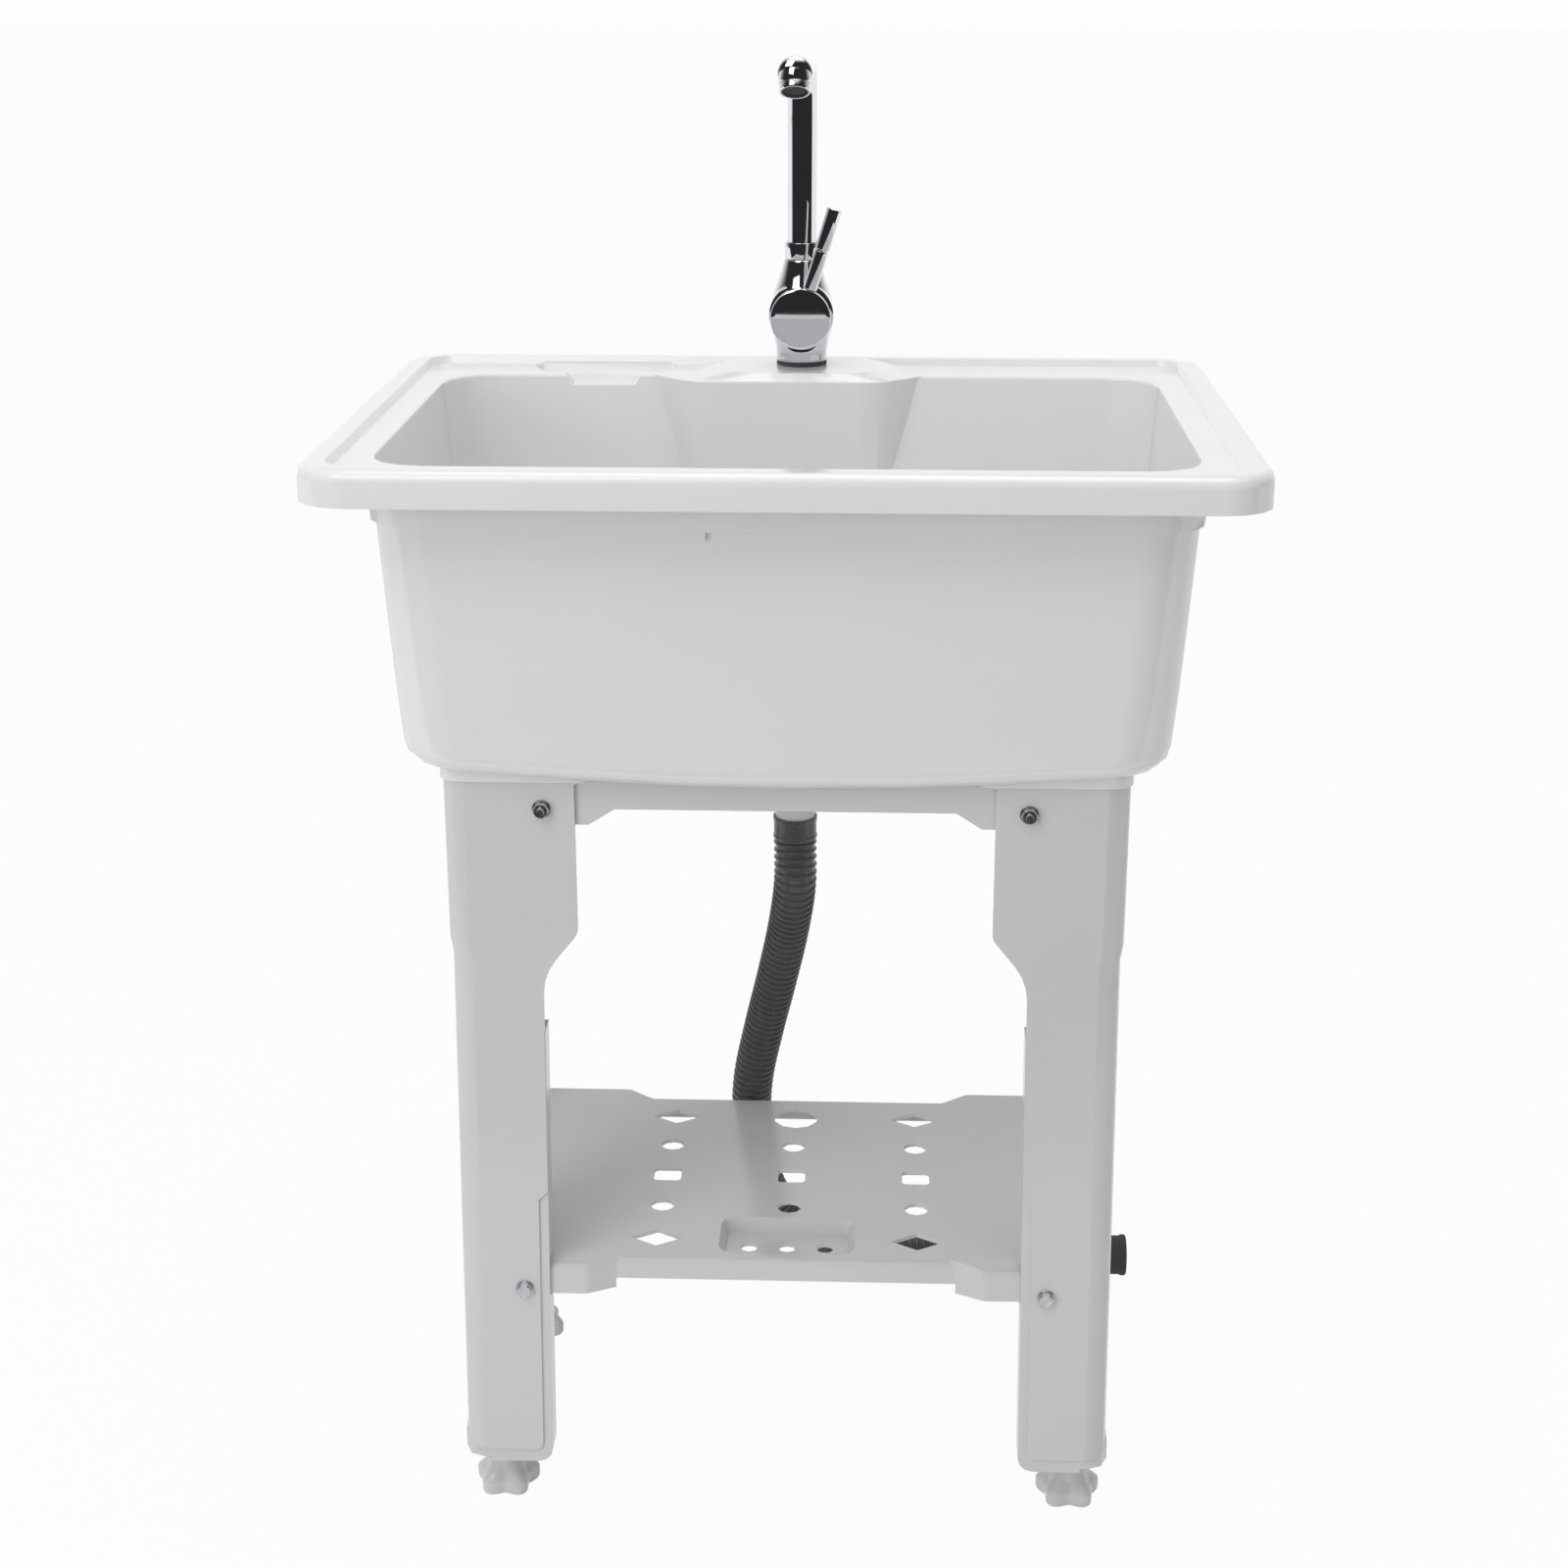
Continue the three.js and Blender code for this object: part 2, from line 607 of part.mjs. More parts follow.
function makeTub() {
  const floorTop = TUB_BOTTOM + FLOOR_THICKNESS;
  const bandTop = RIM_TOP - BAND_TOP_DROP;
  const bandBottom = bandTop - BAND_HEIGHT;

  const rimRings = [rimRing(0, FASCIA_BOTTOM)];
  for (let k = 0; k <= EDGE_STEPS; k++) {
    const turn = (k / EDGE_STEPS) * (Math.PI / 2);
    rimRings.push(rimRing(RIM_EDGE_ROUND * (1 - Math.cos(turn)),
      RIM_TOP - RIM_EDGE_ROUND * (1 - Math.sin(turn))));
  }
  const rim = loft(rimRings);
  const body = bodyForm(0, LEDGE, TUB_BOTTOM, TUB_EDGE_ROUND);
  const collar = loft([
    bodyRing(bandBottom, -BAND_PROUD),
    bodyRing(bandTop, -BAND_PROUD),
    bodyRing(bandTop, -NECK_FOOT_PROUD),
    bodyRing(FASCIA_BOTTOM + 1, -NECK_PROUD),
    bodyRing(LEDGE, -NECK_PROUD),
  ]);
  const lowBand = common(
    loft([bodyRing(bandBottom - LOW_BAND_DROP, -BAND_PROUD), bodyRing(bandTop, -BAND_PROUD)]),
    block(LOW_BAND_LEFT, LOW_BAND_RIGHT, -RIM_DEPTH / 2, 0, 0, RIM_TOP));
  const underRim = cut(
    loft([rimRing(FASCIA_WALL, FASCIA_BOTTOM - 1), rimRing(FASCIA_WALL, DECK_UNDERSIDE)]),
    loft([bodyRing(TUB_BOTTOM, -NECK_PROUD), bodyRing(ABOVE_RIM, -NECK_PROUD)]));

  const pads = [-1, 1].flatMap((sideX) => [-1, 1].map((sideY) => {
    const outerX = FRAME_HALF_WIDTH + PAD_OVERHANG;
    const outerY = FRAME_HALF_DEPTH + PAD_OVERHANG;
    const plan = outline([[outerX, outerY, LEG_CORNER], [outerX - PAD_LENGTH, outerY, PAD_CORNER],
      [outerX - PAD_LENGTH, outerY - PAD_DEPTH, PAD_CORNER], [outerX, outerY - PAD_DEPTH, PAD_CORNER]]);
    const placed = plan.map(({ x, y }) => new Vector2(sideX * x, FRAME_MIDDLE + sideY * y));
    return slab(placed, PAD_BOTTOM, TUB_BOTTOM + TUB_EDGE_ROUND);
  }));

  const soapFloor = RIM_TOP - SOAP_FLOOR_DROP;
  const soapPlan = (grow) => outline([
    [SOAP_LEFT + SOAP_SKEW - grow, SOAP_FRONT - grow, SOAP_CORNER + grow],
    [SOAP_RIGHT - SOAP_SKEW + grow, SOAP_FRONT - grow, SOAP_CORNER + grow],
    [SOAP_RIGHT + grow, SOAP_BACK + grow, SOAP_CORNER + grow],
    [SOAP_LEFT - grow, SOAP_BACK + grow, SOAP_CORNER + grow],
  ]);
  const soapTray = slab(soapPlan(SOAP_TRAY_WALL), soapFloor - SOAP_TRAY_WALL, DECK_UNDERSIDE + 1);
  const soapVoid = loft([ringAt(soapPlan(-SOAP_SLOPE), soapFloor), ringAt(soapPlan(0), LEDGE),
    ringAt(soapPlan(0), ABOVE_RIM)]);
  const notch = upright([
    new Vector2(NOTCH_LEFT + NOTCH_SLOPE, soapFloor),
    new Vector2(NOTCH_RIGHT - NOTCH_SLOPE, soapFloor),
    new Vector2(NOTCH_RIGHT, ABOVE_RIM),
    new Vector2(NOTCH_LEFT, ABOVE_RIM),
  ], BODY_BACK - BODY_WALL * 4, SOAP_FRONT + SOAP_CORNER);

  const padPlan = (share) => rectangle(-TAP_PAD_HALF_WIDTH - share * TAP_PAD_SIDE_RUN,
    TAP_PAD_HALF_WIDTH + share * TAP_PAD_SIDE_RUN, TAP_PAD_FRONT - share * TAP_PAD_FRONT_RUN,
    RIM_DEPTH / 2 - LIP_WIDTH / 2, TAP_PAD_CORNER);
  const tapPad = loft([ringAt(padPlan(1), LEDGE), ringAt(padPlan(0), RIM_TOP)]);
  const ledgeVoid = cut(loft([
    rimRing(LIP_WIDTH + LEDGE_SLOPE, LEDGE),
    rimRing(LIP_WIDTH, RIM_TOP),
    rimRing(LIP_WIDTH, ABOVE_RIM),
  ]), tapPad);

  const bowlTopRings = [];
  for (let k = 0; k <= 2; k++) {
    const turn = (k / 2) * (Math.PI / 2);
    const height = LEDGE - BOWL_LIP_ROUND * (1 - Math.cos(turn));
    bowlTopRings.push(bodyRing(height, BODY_WALL - BOWL_LIP_ROUND * (1 - Math.sin(turn))));
  }
  bowlTopRings.unshift(bodyRing(ABOVE_RIM, BODY_WALL - BOWL_LIP_ROUND));
  const bowl = cut(
    bodyForm(BODY_WALL, LEDGE - BOWL_LIP_ROUND - 1, floorTop, TUB_EDGE_ROUND - BODY_WALL, bowlTopRings),
    tapBay(0, ABOVE_RIM));

  const shell = cut(joined(rim, body, collar, lowBand, ...pads), underRim,
    tapBay(-BODY_WALL, DECK_UNDERSIDE));
  return cut(joined(shell, soapTray), bowl, ledgeVoid, soapVoid, notch,
    rod(TAP_HOLE_RADIUS, TUB_BOTTOM, ABOVE_RIM).translate(0, TAP_Y, 0),
    rod(DRAIN_HOLE_RADIUS, 0, RIM_TOP).translate(0, DRAIN_Y, 0));
}

add('tub', makeTub(), glossWhite);

// ---------------------------------------------------------------- waste

const DRAIN_SEAT = TUB_BOTTOM + FLOOR_THICKNESS - FLOOR_FALL;
const DRAIN_UNDERSIDE = TUB_BOTTOM - FLOOR_FALL;
const THROAT_BOTTOM = DRAIN_SEAT + GAP - THROAT_LENGTH;
const THROAT_BORE = THROAT_RADIUS - THROAT_WALL;
const waste = new THREE.Group();
waste.position.set(0, DRAIN_Y, 0);
sink.add(waste);

function makeStrainerFlange() {
  const seat = DRAIN_SEAT + GAP;
  const ledge = THROAT_BORE - THROAT_WALL;
  return turned([
    [ledge, THROAT_BOTTOM],
    [THROAT_RADIUS, THROAT_BOTTOM],
    [THROAT_RADIUS, seat],
    [STRAINER_FLANGE_RADIUS, seat],
    [STRAINER_FLANGE_RADIUS, seat + STRAINER_PLATE / 2],
    [STRAINER_FLANGE_RADIUS - STRAINER_PLATE, seat + STRAINER_PLATE],
    [THROAT_RADIUS + STRAINER_PLATE, seat + STRAINER_PLATE],
    [THROAT_BORE, seat - STRAINER_PLATE],
    [THROAT_BORE, THROAT_BOTTOM + STRAINER_PLATE],
    [ledge, THROAT_BOTTOM + STRAINER_PLATE],
  ]);
}

// Lift-out cup with a ring of holes in its floor and a knob to pull it by.
function makeBasket() {
  const bottom = THROAT_BOTTOM + STRAINER_PLATE + GAP;
  const top = DRAIN_SEAT - STRAINER_PLATE;
  const radius = THROAT_BORE - GAP;
  const cup = turned([
    [0, bottom],
    [radius - BASKET_WALL, bottom],
    [radius, bottom + BASKET_WALL],
    [radius, top],
    [radius - BASKET_WALL, top],
    [radius - BASKET_WALL, bottom + 2 * BASKET_WALL],
    [radius - 2 * BASKET_WALL, bottom + BASKET_WALL],
    [BASKET_KNOB_RADIUS, bottom + BASKET_WALL],
    [BASKET_KNOB_RADIUS / 2, bottom + 2 * BASKET_WALL],
    [BASKET_KNOB_RADIUS / 2, bottom + BASKET_KNOB_HEIGHT - BASKET_KNOB_RADIUS],
    [BASKET_KNOB_RADIUS, bottom + BASKET_KNOB_HEIGHT - BASKET_KNOB_RADIUS / 2],
    [BASKET_KNOB_RADIUS, bottom + BASKET_KNOB_HEIGHT],
    [0, bottom + BASKET_KNOB_HEIGHT],
  ]);
  const circle = (radius - BASKET_WALL + BASKET_KNOB_RADIUS) / 2;
  const holes = Array.from({ length: BASKET_HOLES }, (_, i) => {
    const angle = (i / BASKET_HOLES) * 2 * Math.PI;
    return rod(BASKET_HOLE_RADIUS, bottom - 1, bottom + 2 * BASKET_WALL, BOLT_SIDES)
      .translate(circle * Math.cos(angle), circle * Math.sin(angle), 0);
  });
  return cut(cup, ...holes);
}

function makeDrainNut(top) {
  const ring = tube(DRAIN_NUT_RADIUS, THROAT_RADIUS + GAP, top - DRAIN_NUT_HEIGHT, top);
  const lugs = Array.from({ length: DRAIN_NUT_LUGS }, (_, i) => block(
    DRAIN_NUT_RADIUS - 1, DRAIN_NUT_RADIUS + DRAIN_NUT_LUG, -DRAIN_NUT_LUG / 2, DRAIN_NUT_LUG / 2,
    top - DRAIN_NUT_HEIGHT, top).rotateZ((i / DRAIN_NUT_LUGS) * 2 * Math.PI));
  return joined(ring, ...lugs);
}

// Reducer that screws onto the throat and narrows to the hose's size.
function makeTailpiece() {
  const capTop = THROAT_BOTTOM + TAIL_CAP_OVERLAP;
  const stop = THROAT_BOTTOM - GAP;
  const capBottom = stop - TAIL_CAP_WALL;
  const capRadius = THROAT_RADIUS + GAP + TAIL_CAP_WALL;
  const end = HOSE_TOP + 2 * GAP + TAIL_CAP_WALL / 2;
  return turned([
    [TAIL_BORE, end],
    [TAIL_RADIUS, end],
    [TAIL_RADIUS, capBottom - TAIL_CONE_HEIGHT],
    [capRadius, capBottom],
    [capRadius, capTop],
    [THROAT_RADIUS + GAP, capTop],
    [THROAT_RADIUS + GAP, stop],
    [THROAT_BORE - THROAT_WALL, stop],
    [TAIL_BORE, capBottom - TAIL_CONE_HEIGHT],
  ]);
}

// Smooth sleeve at the hose's top, pushed over the tailpiece.
function makeHoseCuff() {
  const bottom = HOSE_TOP + GAP;
  return turned([
    [HOSE_BORE_RADIUS, bottom],
    [CUFF_RADIUS, bottom],
    [CUFF_RADIUS, bottom + CUFF_HEIGHT],
    [TAIL_RADIUS + GAP, bottom + CUFF_HEIGHT],
    [TAIL_RADIUS + GAP, bottom + TAIL_CAP_WALL / 2],
    [HOSE_BORE_RADIUS, bottom + TAIL_CAP_WALL / 2],
  ]);
}

const GASKET_TOP = DRAIN_UNDERSIDE - GAP;
const DRAIN_NUT_TOP = GASKET_TOP - GASKET_THICKNESS - GAP;
add('strainer_flange', makeStrainerFlange(), steel, waste);
add('strainer_basket', makeBasket(), steel, waste);
add('drain_gasket', tube(GASKET_RADIUS, THROAT_RADIUS + GAP, GASKET_TOP - GASKET_THICKNESS, GASKET_TOP),
  blackRubber, waste);
add('drain_locknut', makeDrainNut(DRAIN_NUT_TOP), satinWhite, waste);
add('tailpiece', makeTailpiece(), satinWhite, waste);
add('hose_top_cuff', makeHoseCuff(), greyVinyl, waste);

// Ribbed tube with an open bore, wound in one skin along the hose's middle.
function makeHose() {
  const path = new THREE.CatmullRomCurve3(HOSE_POINTS.map((point) => new Vector3(...point)));
  path.arcLengthDivisions = 2000;
  const ribs = Math.round(path.getLength() / HOSE_RIB_PITCH / HOSE_RIBS_PER_BORE_RING)
    * HOSE_RIBS_PER_BORE_RING;
  const rings = 2 * ribs;
  const frames = path.computeFrenetFrames(rings, false);
  const positions = [];
  const pushRing = (ring, radius) => {
    const middle = path.getPointAt(ring / rings);
    for (let side = 0; side < HOSE_SIDES; side++) {
      const angle = (side / HOSE_SIDES) * 2 * Math.PI;
      const point = middle.clone()
        .addScaledVector(frames.normals[ring], radius * Math.cos(angle))
        .addScaledVector(frames.binormals[ring], radius * Math.sin(angle));
      positions.push(...point.toArray());
    }
  };
  for (let ring = 0; ring <= rings; ring++) {
    pushRing(ring, ring % 2 === 0 ? HOSE_CREST_RADIUS - HOSE_RIB_DEPTH : HOSE_CREST_RADIUS);
  }
  const boreStep = 2 * HOSE_RIBS_PER_BORE_RING;
  for (let ring = 0; ring <= rings; ring += boreStep) pushRing(ring, HOSE_BORE_RADIUS);
  const faces = [];
  const band = (first, second) => {
    for (let i = 0; i < HOSE_SIDES; i++) {
      const j = (i + 1) % HOSE_SIDES;
      faces.push(first + i, first + j, second + j, first + i, second + j, second + i);
    }
  };
  const boreStart = (rings + 1) * HOSE_SIDES;
  const boreRings = rings / boreStep;
  for (let ring = 0; ring < rings; ring++) band(ring * HOSE_SIDES, (ring + 1) * HOSE_SIDES);
  for (let ring = 0; ring < boreRings; ring++) {
    band(boreStart + (ring + 1) * HOSE_SIDES, boreStart + ring * HOSE_SIDES);
  }
  band(boreStart, 0);
  band(rings * HOSE_SIDES, boreStart + boreRings * HOSE_SIDES);
  const geometry = new THREE.BufferGeometry();
  geometry.setAttribute('position', new THREE.Float32BufferAttribute(positions, 3));
  geometry.setIndex(faces);
  console.log(`hose: ${ribs} ribs, ${path.getLength().toFixed(1)} mm along its middle`);
  return geometry;
}

add('drain_hose', makeHose(), greyVinyl);

const endCuff = add('hose_end_cuff', turned([
  [HOSE_BORE_RADIUS, 0],
  [END_CUFF_RADIUS - END_CUFF_BEAD / 2, 0],
  [END_CUFF_RADIUS - END_CUFF_BEAD / 2, END_CUFF_LENGTH - 3 * END_CUFF_BEAD],
  [END_CUFF_RADIUS, END_CUFF_LENGTH - 2 * END_CUFF_BEAD],
  [END_CUFF_RADIUS, END_CUFF_LENGTH - END_CUFF_BEAD / 2],
  [END_CUFF_RADIUS - END_CUFF_BEAD / 2, END_CUFF_LENGTH],
  [HOSE_BORE_RADIUS, END_CUFF_LENGTH],
]), blackRubber);
const [hoseEndX, hoseEndY, hoseEndZ] = HOSE_POINTS.at(-1);
endCuff.position.set(hoseEndX + GAP, hoseEndY, hoseEndZ);
endCuff.rotation.y = Math.PI / 2;

// ---------------------------------------------------------------- legs
// A leg is drawn in its own frame: X runs inward from the outer side face, Y inward from the outer front
// face. The four corners place it, with the fasteners and the foot, by mirroring that frame.

const FRONT = ['front', -1];
const BACK = ['back', 1];

// Places a shape drawn in the corner frame at the corners of one row or both, and names each copy.
function addAtCorners(name, geometry, material, rows = [FRONT, BACK]) {
  for (const [suffixY, sideY] of rows) {
    for (const [suffixX, sideX] of [['left', -1], ['right', 1]]) {
      const mirrored = geometry.clone().scale(-sideX, -sideY, 1);
      const mesh = add(`${name}_${suffixY}_${suffixX}`, mirrored, material);
      mesh.position.set(sideX * FRAME_HALF_WIDTH, FRAME_MIDDLE + sideY * FRAME_HALF_DEPTH, 0);
    }
  }
}

const STEP_BOTTOM = LEG_STEP_TOP - LEG_STEP_HEIGHT;
const LEG_TOP = PAD_BOTTOM - GAP;
const SHOULDER_BOTTOM = SHOULDER_TOP - SHOULDER_HEIGHT;

// How far the side face stands in from the frame's outer face at a height.
function sideInset(z) {
  if (z >= LEG_STEP_TOP) return 0;
  if (z >= STEP_BOTTOM) return (LEG_STEP * (LEG_STEP_TOP - z)) / LEG_STEP_HEIGHT;
  return LEG_STEP - LEG_SPLAY * (STEP_BOTTOM - z);
}

// L-shaped wall of the leg at a height.
function legRing(z) {
  const inset = sideInset(z);
  const innerRound = LEG_CORNER - LEG_WALL;
  const outer = outline([[0, LEG_UPPER_DEPTH], [0, 0, LEG_CORNER], [LEG_UPPER_WIDTH, 0]], LEG_CORNER_STEPS)
    .slice(0, -1);
  const inner = outline([[LEG_UPPER_WIDTH, LEG_WALL], [LEG_WALL, LEG_WALL, innerRound],
    [LEG_WALL, LEG_UPPER_DEPTH]], LEG_CORNER_STEPS);
  const points = [...outer, new Vector2(LEG_UPPER_WIDTH, 0), ...inner];
  return points.map(({ x, y }) => new Vector3(x + inset, y, z));
}

// Where a leg's inner edge lies at a height, in from the outer face.
function innerEdge(lowerWidth, drift, z) {
  return lowerWidth - drift * (SHOULDER_BOTTOM - z);
}

// Face outline cut away beyond the leg's inner edge: wide at the top, narrow below the shoulder. A border
// leaves room for a strip along the edge's lower end.
function beyondFace({ upperWidth, lowerWidth, drift, border }) {
  const far = upperWidth + LEG_UPPER_WIDTH;
  const slight = upperWidth - lowerWidth <= SHOULDER_FILLET;
  const shoulderFoot = slight ? SHOULDER_BOTTOM + SHOULDER_HEIGHT / 2 : SHOULDER_BOTTOM;
  return outline([
    [upperWidth, SHOULDER_TOP, SHOULDER_ROUND],
    [lowerWidth, shoulderFoot, SHOULDER_FILLET],
    [innerEdge(lowerWidth, drift, BORDER_TOP), BORDER_TOP],
    [innerEdge(lowerWidth, drift, BORDER_TOP) - border, BORDER_TOP - BORDER_WIDTH],
    [innerEdge(lowerWidth, drift, FACE_BOTTOM) - border, FACE_BOTTOM, FACE_CORNER],
    [-LEG_CORNER, FACE_BOTTOM],
    [-LEG_CORNER, 0],
    [far, 0],
    [far, LEG_TOP + 1],
    [upperWidth, LEG_TOP + 1],
  ], LEG_CORNER_STEPS);
}

// Strip set back behind the face along its inner and lower edges, and the flange that returns from it.
function faceBorder({ lowerWidth, drift }) {
  const outer = (z) => innerEdge(lowerWidth, drift, z);
  const strip = upright(outline([
    [outer(BORDER_TOP) - 2 * BORDER_WIDTH, BORDER_TOP],
    [outer(BORDER_TOP), BORDER_TOP],
    [outer(BASE_BOTTOM), BASE_BOTTOM, BASE_ROUND],
    [LEG_CORNER, BASE_BOTTOM],
    [LEG_CORNER, BASE_TOP],
    [outer(BASE_TOP) - 2 * BORDER_WIDTH, BASE_TOP],
  ], LEG_CORNER_STEPS), BORDER_SETBACK, BORDER_SETBACK + LEG_WALL);
  const flangeFoot = BASE_BOTTOM + BASE_ROUND;
  const flange = upright([
    new Vector2(outer(FLANGE_TOP) - LEG_WALL, FLANGE_TOP),
    new Vector2(outer(FLANGE_TOP), FLANGE_TOP),
    new Vector2(outer(flangeFoot), flangeFoot),
    new Vector2(outer(flangeFoot) - LEG_WALL, flangeFoot),
  ], BORDER_SETBACK, RETURN_DEPTH);
  return [strip, flange];
}

// Swaps a shape's X and Y, which turns a front face into a side face.
function swapped(geometry) {
  const exchange = new THREE.Matrix4().set(0, 1, 0, 0, 1, 0, 0, 0, 0, 0, 1, 0, 0, 0, 0, 1);
  return geometry.clone().applyMatrix4(exchange);
}

function makeLeg({ face, boltsThroughSide, bordered }) {
  const shell = loft([LEG_TOP, LEG_STEP_TOP, STEP_BOTTOM, FACE_BOTTOM].map(legRing));
  const side = { upperWidth: LEG_UPPER_DEPTH, lowerWidth: LEG_LOWER_DEPTH, drift: 0, border: 0 };
  const walls = cut(shell, upright(beyondFace(face), -1, LEG_CORNER + 1),
    swapped(upright(beyondFace(side), -LEG_CORNER, LEG_CORNER + 1)));

  const baseInset = sideInset(BASE_BOTTOM);
  const baseRight = face.footInset + BUSH_FLANGE_RADIUS + GAP + LEG_WALL;
  const baseRing = (inset, z) => ringAt(outline([
    [baseInset - BASE_FLARE + inset, BORDER_SETBACK + inset, LEG_CORNER],
    [baseRight - inset, BORDER_SETBACK + inset, LEG_WALL],
    [baseRight - inset, BASE_DEPTH - inset, BASE_ROUND],
    [baseInset - BASE_FLARE + inset, BASE_DEPTH - inset, BASE_ROUND],
  ], FINE_STEPS), z);
  const base = loft([
    baseRing(BASE_FLARE, BASE_TOP + BASE_ROUND),
    baseRing(0, BASE_TOP),
    baseRing(0, BASE_BOTTOM + LEG_WALL),
    baseRing(LEG_WALL, BASE_BOTTOM),
  ]);
  const baseVoid = slab(outline([
    [baseInset + LEG_WALL, LEG_WALL, LEG_CORNER - LEG_WALL],
    [baseRight - LEG_WALL, LEG_WALL],
    [baseRight - LEG_WALL, BASE_DEPTH + BASE_ROUND],
    [baseInset + LEG_WALL, BASE_DEPTH + BASE_ROUND],
  ], LEG_CORNER_STEPS), BASE_TOP, BASE_TOP + 2 * BASE_ROUND);
  const web = slab(outline([
    [1, 1, LEG_CORNER - 1],
    [face.upperWidth - 1, 1],
    [face.upperWidth - 1, LEG_WALL],
    [LEG_WALL, LEG_UPPER_DEPTH - 1],
    [1, LEG_UPPER_DEPTH - 1],
  ], LEG_CORNER_STEPS), LEG_TOP - TOP_WEB, LEG_TOP);

  const pieces = [walls, cut(base, baseVoid), web];
  if (bordered) {
    const shelfWindow = block(LEG_CORNER + LEG_WALL, LEG_UPPER_WIDTH, BORDER_SETBACK + LEG_WALL,
      LEG_UPPER_DEPTH, SHELF_TAB_BOTTOM - LEG_WALL, SHELF_TOP + LEG_WALL);
    const boss = rod(BOSS_RADIUS, 0, BORDER_SETBACK, WASHER_SIDES).rotateX(-Math.PI / 2)
      .translate(LOWER_BOLT_INSET, LEG_WALL, LOWER_BOLT_Z);
    pieces.push(...faceBorder(face).map((piece) => cut(piece, shelfWindow)), boss);
  }
  const hole = () => rod(BOLT_RADIUS + GAP, -LEG_CORNER, LEG_CORNER, BOLT_SIDES).rotateX(-Math.PI / 2);
  const upperHole = hole().translate(face.upperBolt, 0, UPPER_BOLT_Z);
  const lowerHole = boltsThroughSide
    ? swapped(hole()).translate(0, SIDE_BOLT_Y, LOWER_BOLT_Z)
    : hole().translate(LOWER_BOLT_INSET, 0, LOWER_BOLT_Z);
  const bushHole = rod(BUSH_RADIUS + GAP, 0, BASE_TOP + 1, SMALL_SIDES)
    .translate(face.footInset, FRAME_HALF_DEPTH - FOOT_Y, 0);
  return cut(joined(...pieces), upperHole, lowerHole, bushHole);
}

const frontFace = {
  upperWidth: LEG_UPPER_WIDTH,
  lowerWidth: LEG_LOWER_WIDTH,
  drift: LEG_SPLAY,
  border: BORDER_WIDTH,
  upperBolt: UPPER_BOLT_INSET,
  footInset: FOOT_INSET,
};
const backFace = {
  upperWidth: BACK_LEG_UPPER_WIDTH,
  lowerWidth: BACK_LEG_LOWER_WIDTH,
  drift: 0,
  border: 0,
  upperBolt: BACK_BOLT_INSET,
  footInset: BACK_FOOT_INSET,
};
addAtCorners('leg', makeLeg({ face: frontFace, boltsThroughSide: false, bordered: true }), satinWhite,
  [FRONT]);
addAtCorners('leg', makeLeg({ face: backFace, boltsThroughSide: true, bordered: false }), satinWhite,
  [BACK]);

// ---------------------------------------------------------------- levelling feet

// Five-petalled foot that swells out of a plain neck, with its stem.
function makeFoot() {
  const neckTop = BASE_BOTTOM - GAP;
  const shape = [
    [0, FOOT_RADIUS - 1.5, 1],
    [3, FOOT_RADIUS, 1],
    [FOOT_PETAL_TOP - 4, FOOT_RADIUS, 1],
    [FOOT_PETAL_TOP + 2, FOOT_RADIUS - 5, 0.7],
    [FOOT_PETAL_TOP + 8, FOOT_NECK_RADIUS + 1.5, 0.2],
    [neckTop, FOOT_NECK_RADIUS, 0],
  ];
  const pointsAround = FOOT_PETALS * PETAL_STEPS;
  const rings = shape.map(([z, radius, share]) => Array.from({ length: pointsAround }, (_, i) => {
    const angle = (i / pointsAround) * 2 * Math.PI;
    const reach = radius * (1 + FOOT_PETAL_DEPTH * share * Math.sin(FOOT_PETALS * angle));
    return new Vector3(reach * Math.cos(angle), reach * Math.sin(angle), z);
  }));
  const stem = rod(STEM_RADIUS, neckTop - 1, neckTop + STEM_LENGTH, WASHER_SIDES);
  return joined(loft(rings), stem);
}

// Threaded bush pressed into the leg's base from above.
function makeFootBush() {
  const flangeBottom = BASE_TOP + GAP;
  return turned([
    [STEM_RADIUS + GAP, BASE_BOTTOM + LEG_WALL],
    [BUSH_RADIUS, BASE_BOTTOM + LEG_WALL],
    [BUSH_RADIUS, flangeBottom],
    [BUSH_FLANGE_RADIUS, flangeBottom],
    [BUSH_FLANGE_RADIUS, flangeBottom + BUSH_FLANGE],
    [STEM_RADIUS + GAP, flangeBottom + BUSH_FLANGE],
  ], SMALL_SIDES);
}

for (const [row, inset] of [[FRONT, FOOT_INSET], [BACK, BACK_FOOT_INSET]]) {
  const place = [inset, FRAME_HALF_DEPTH - FOOT_Y, 0];
  addAtCorners('foot', makeFoot().translate(...place), satinWhite, [row]);
  addAtCorners('foot_bush', makeFootBush().translate(...place), brass, [row]);
}

// ---------------------------------------------------------------- aprons

const APRON_FACE = LEG_WALL + GAP; // set behind the leg's face by its wall

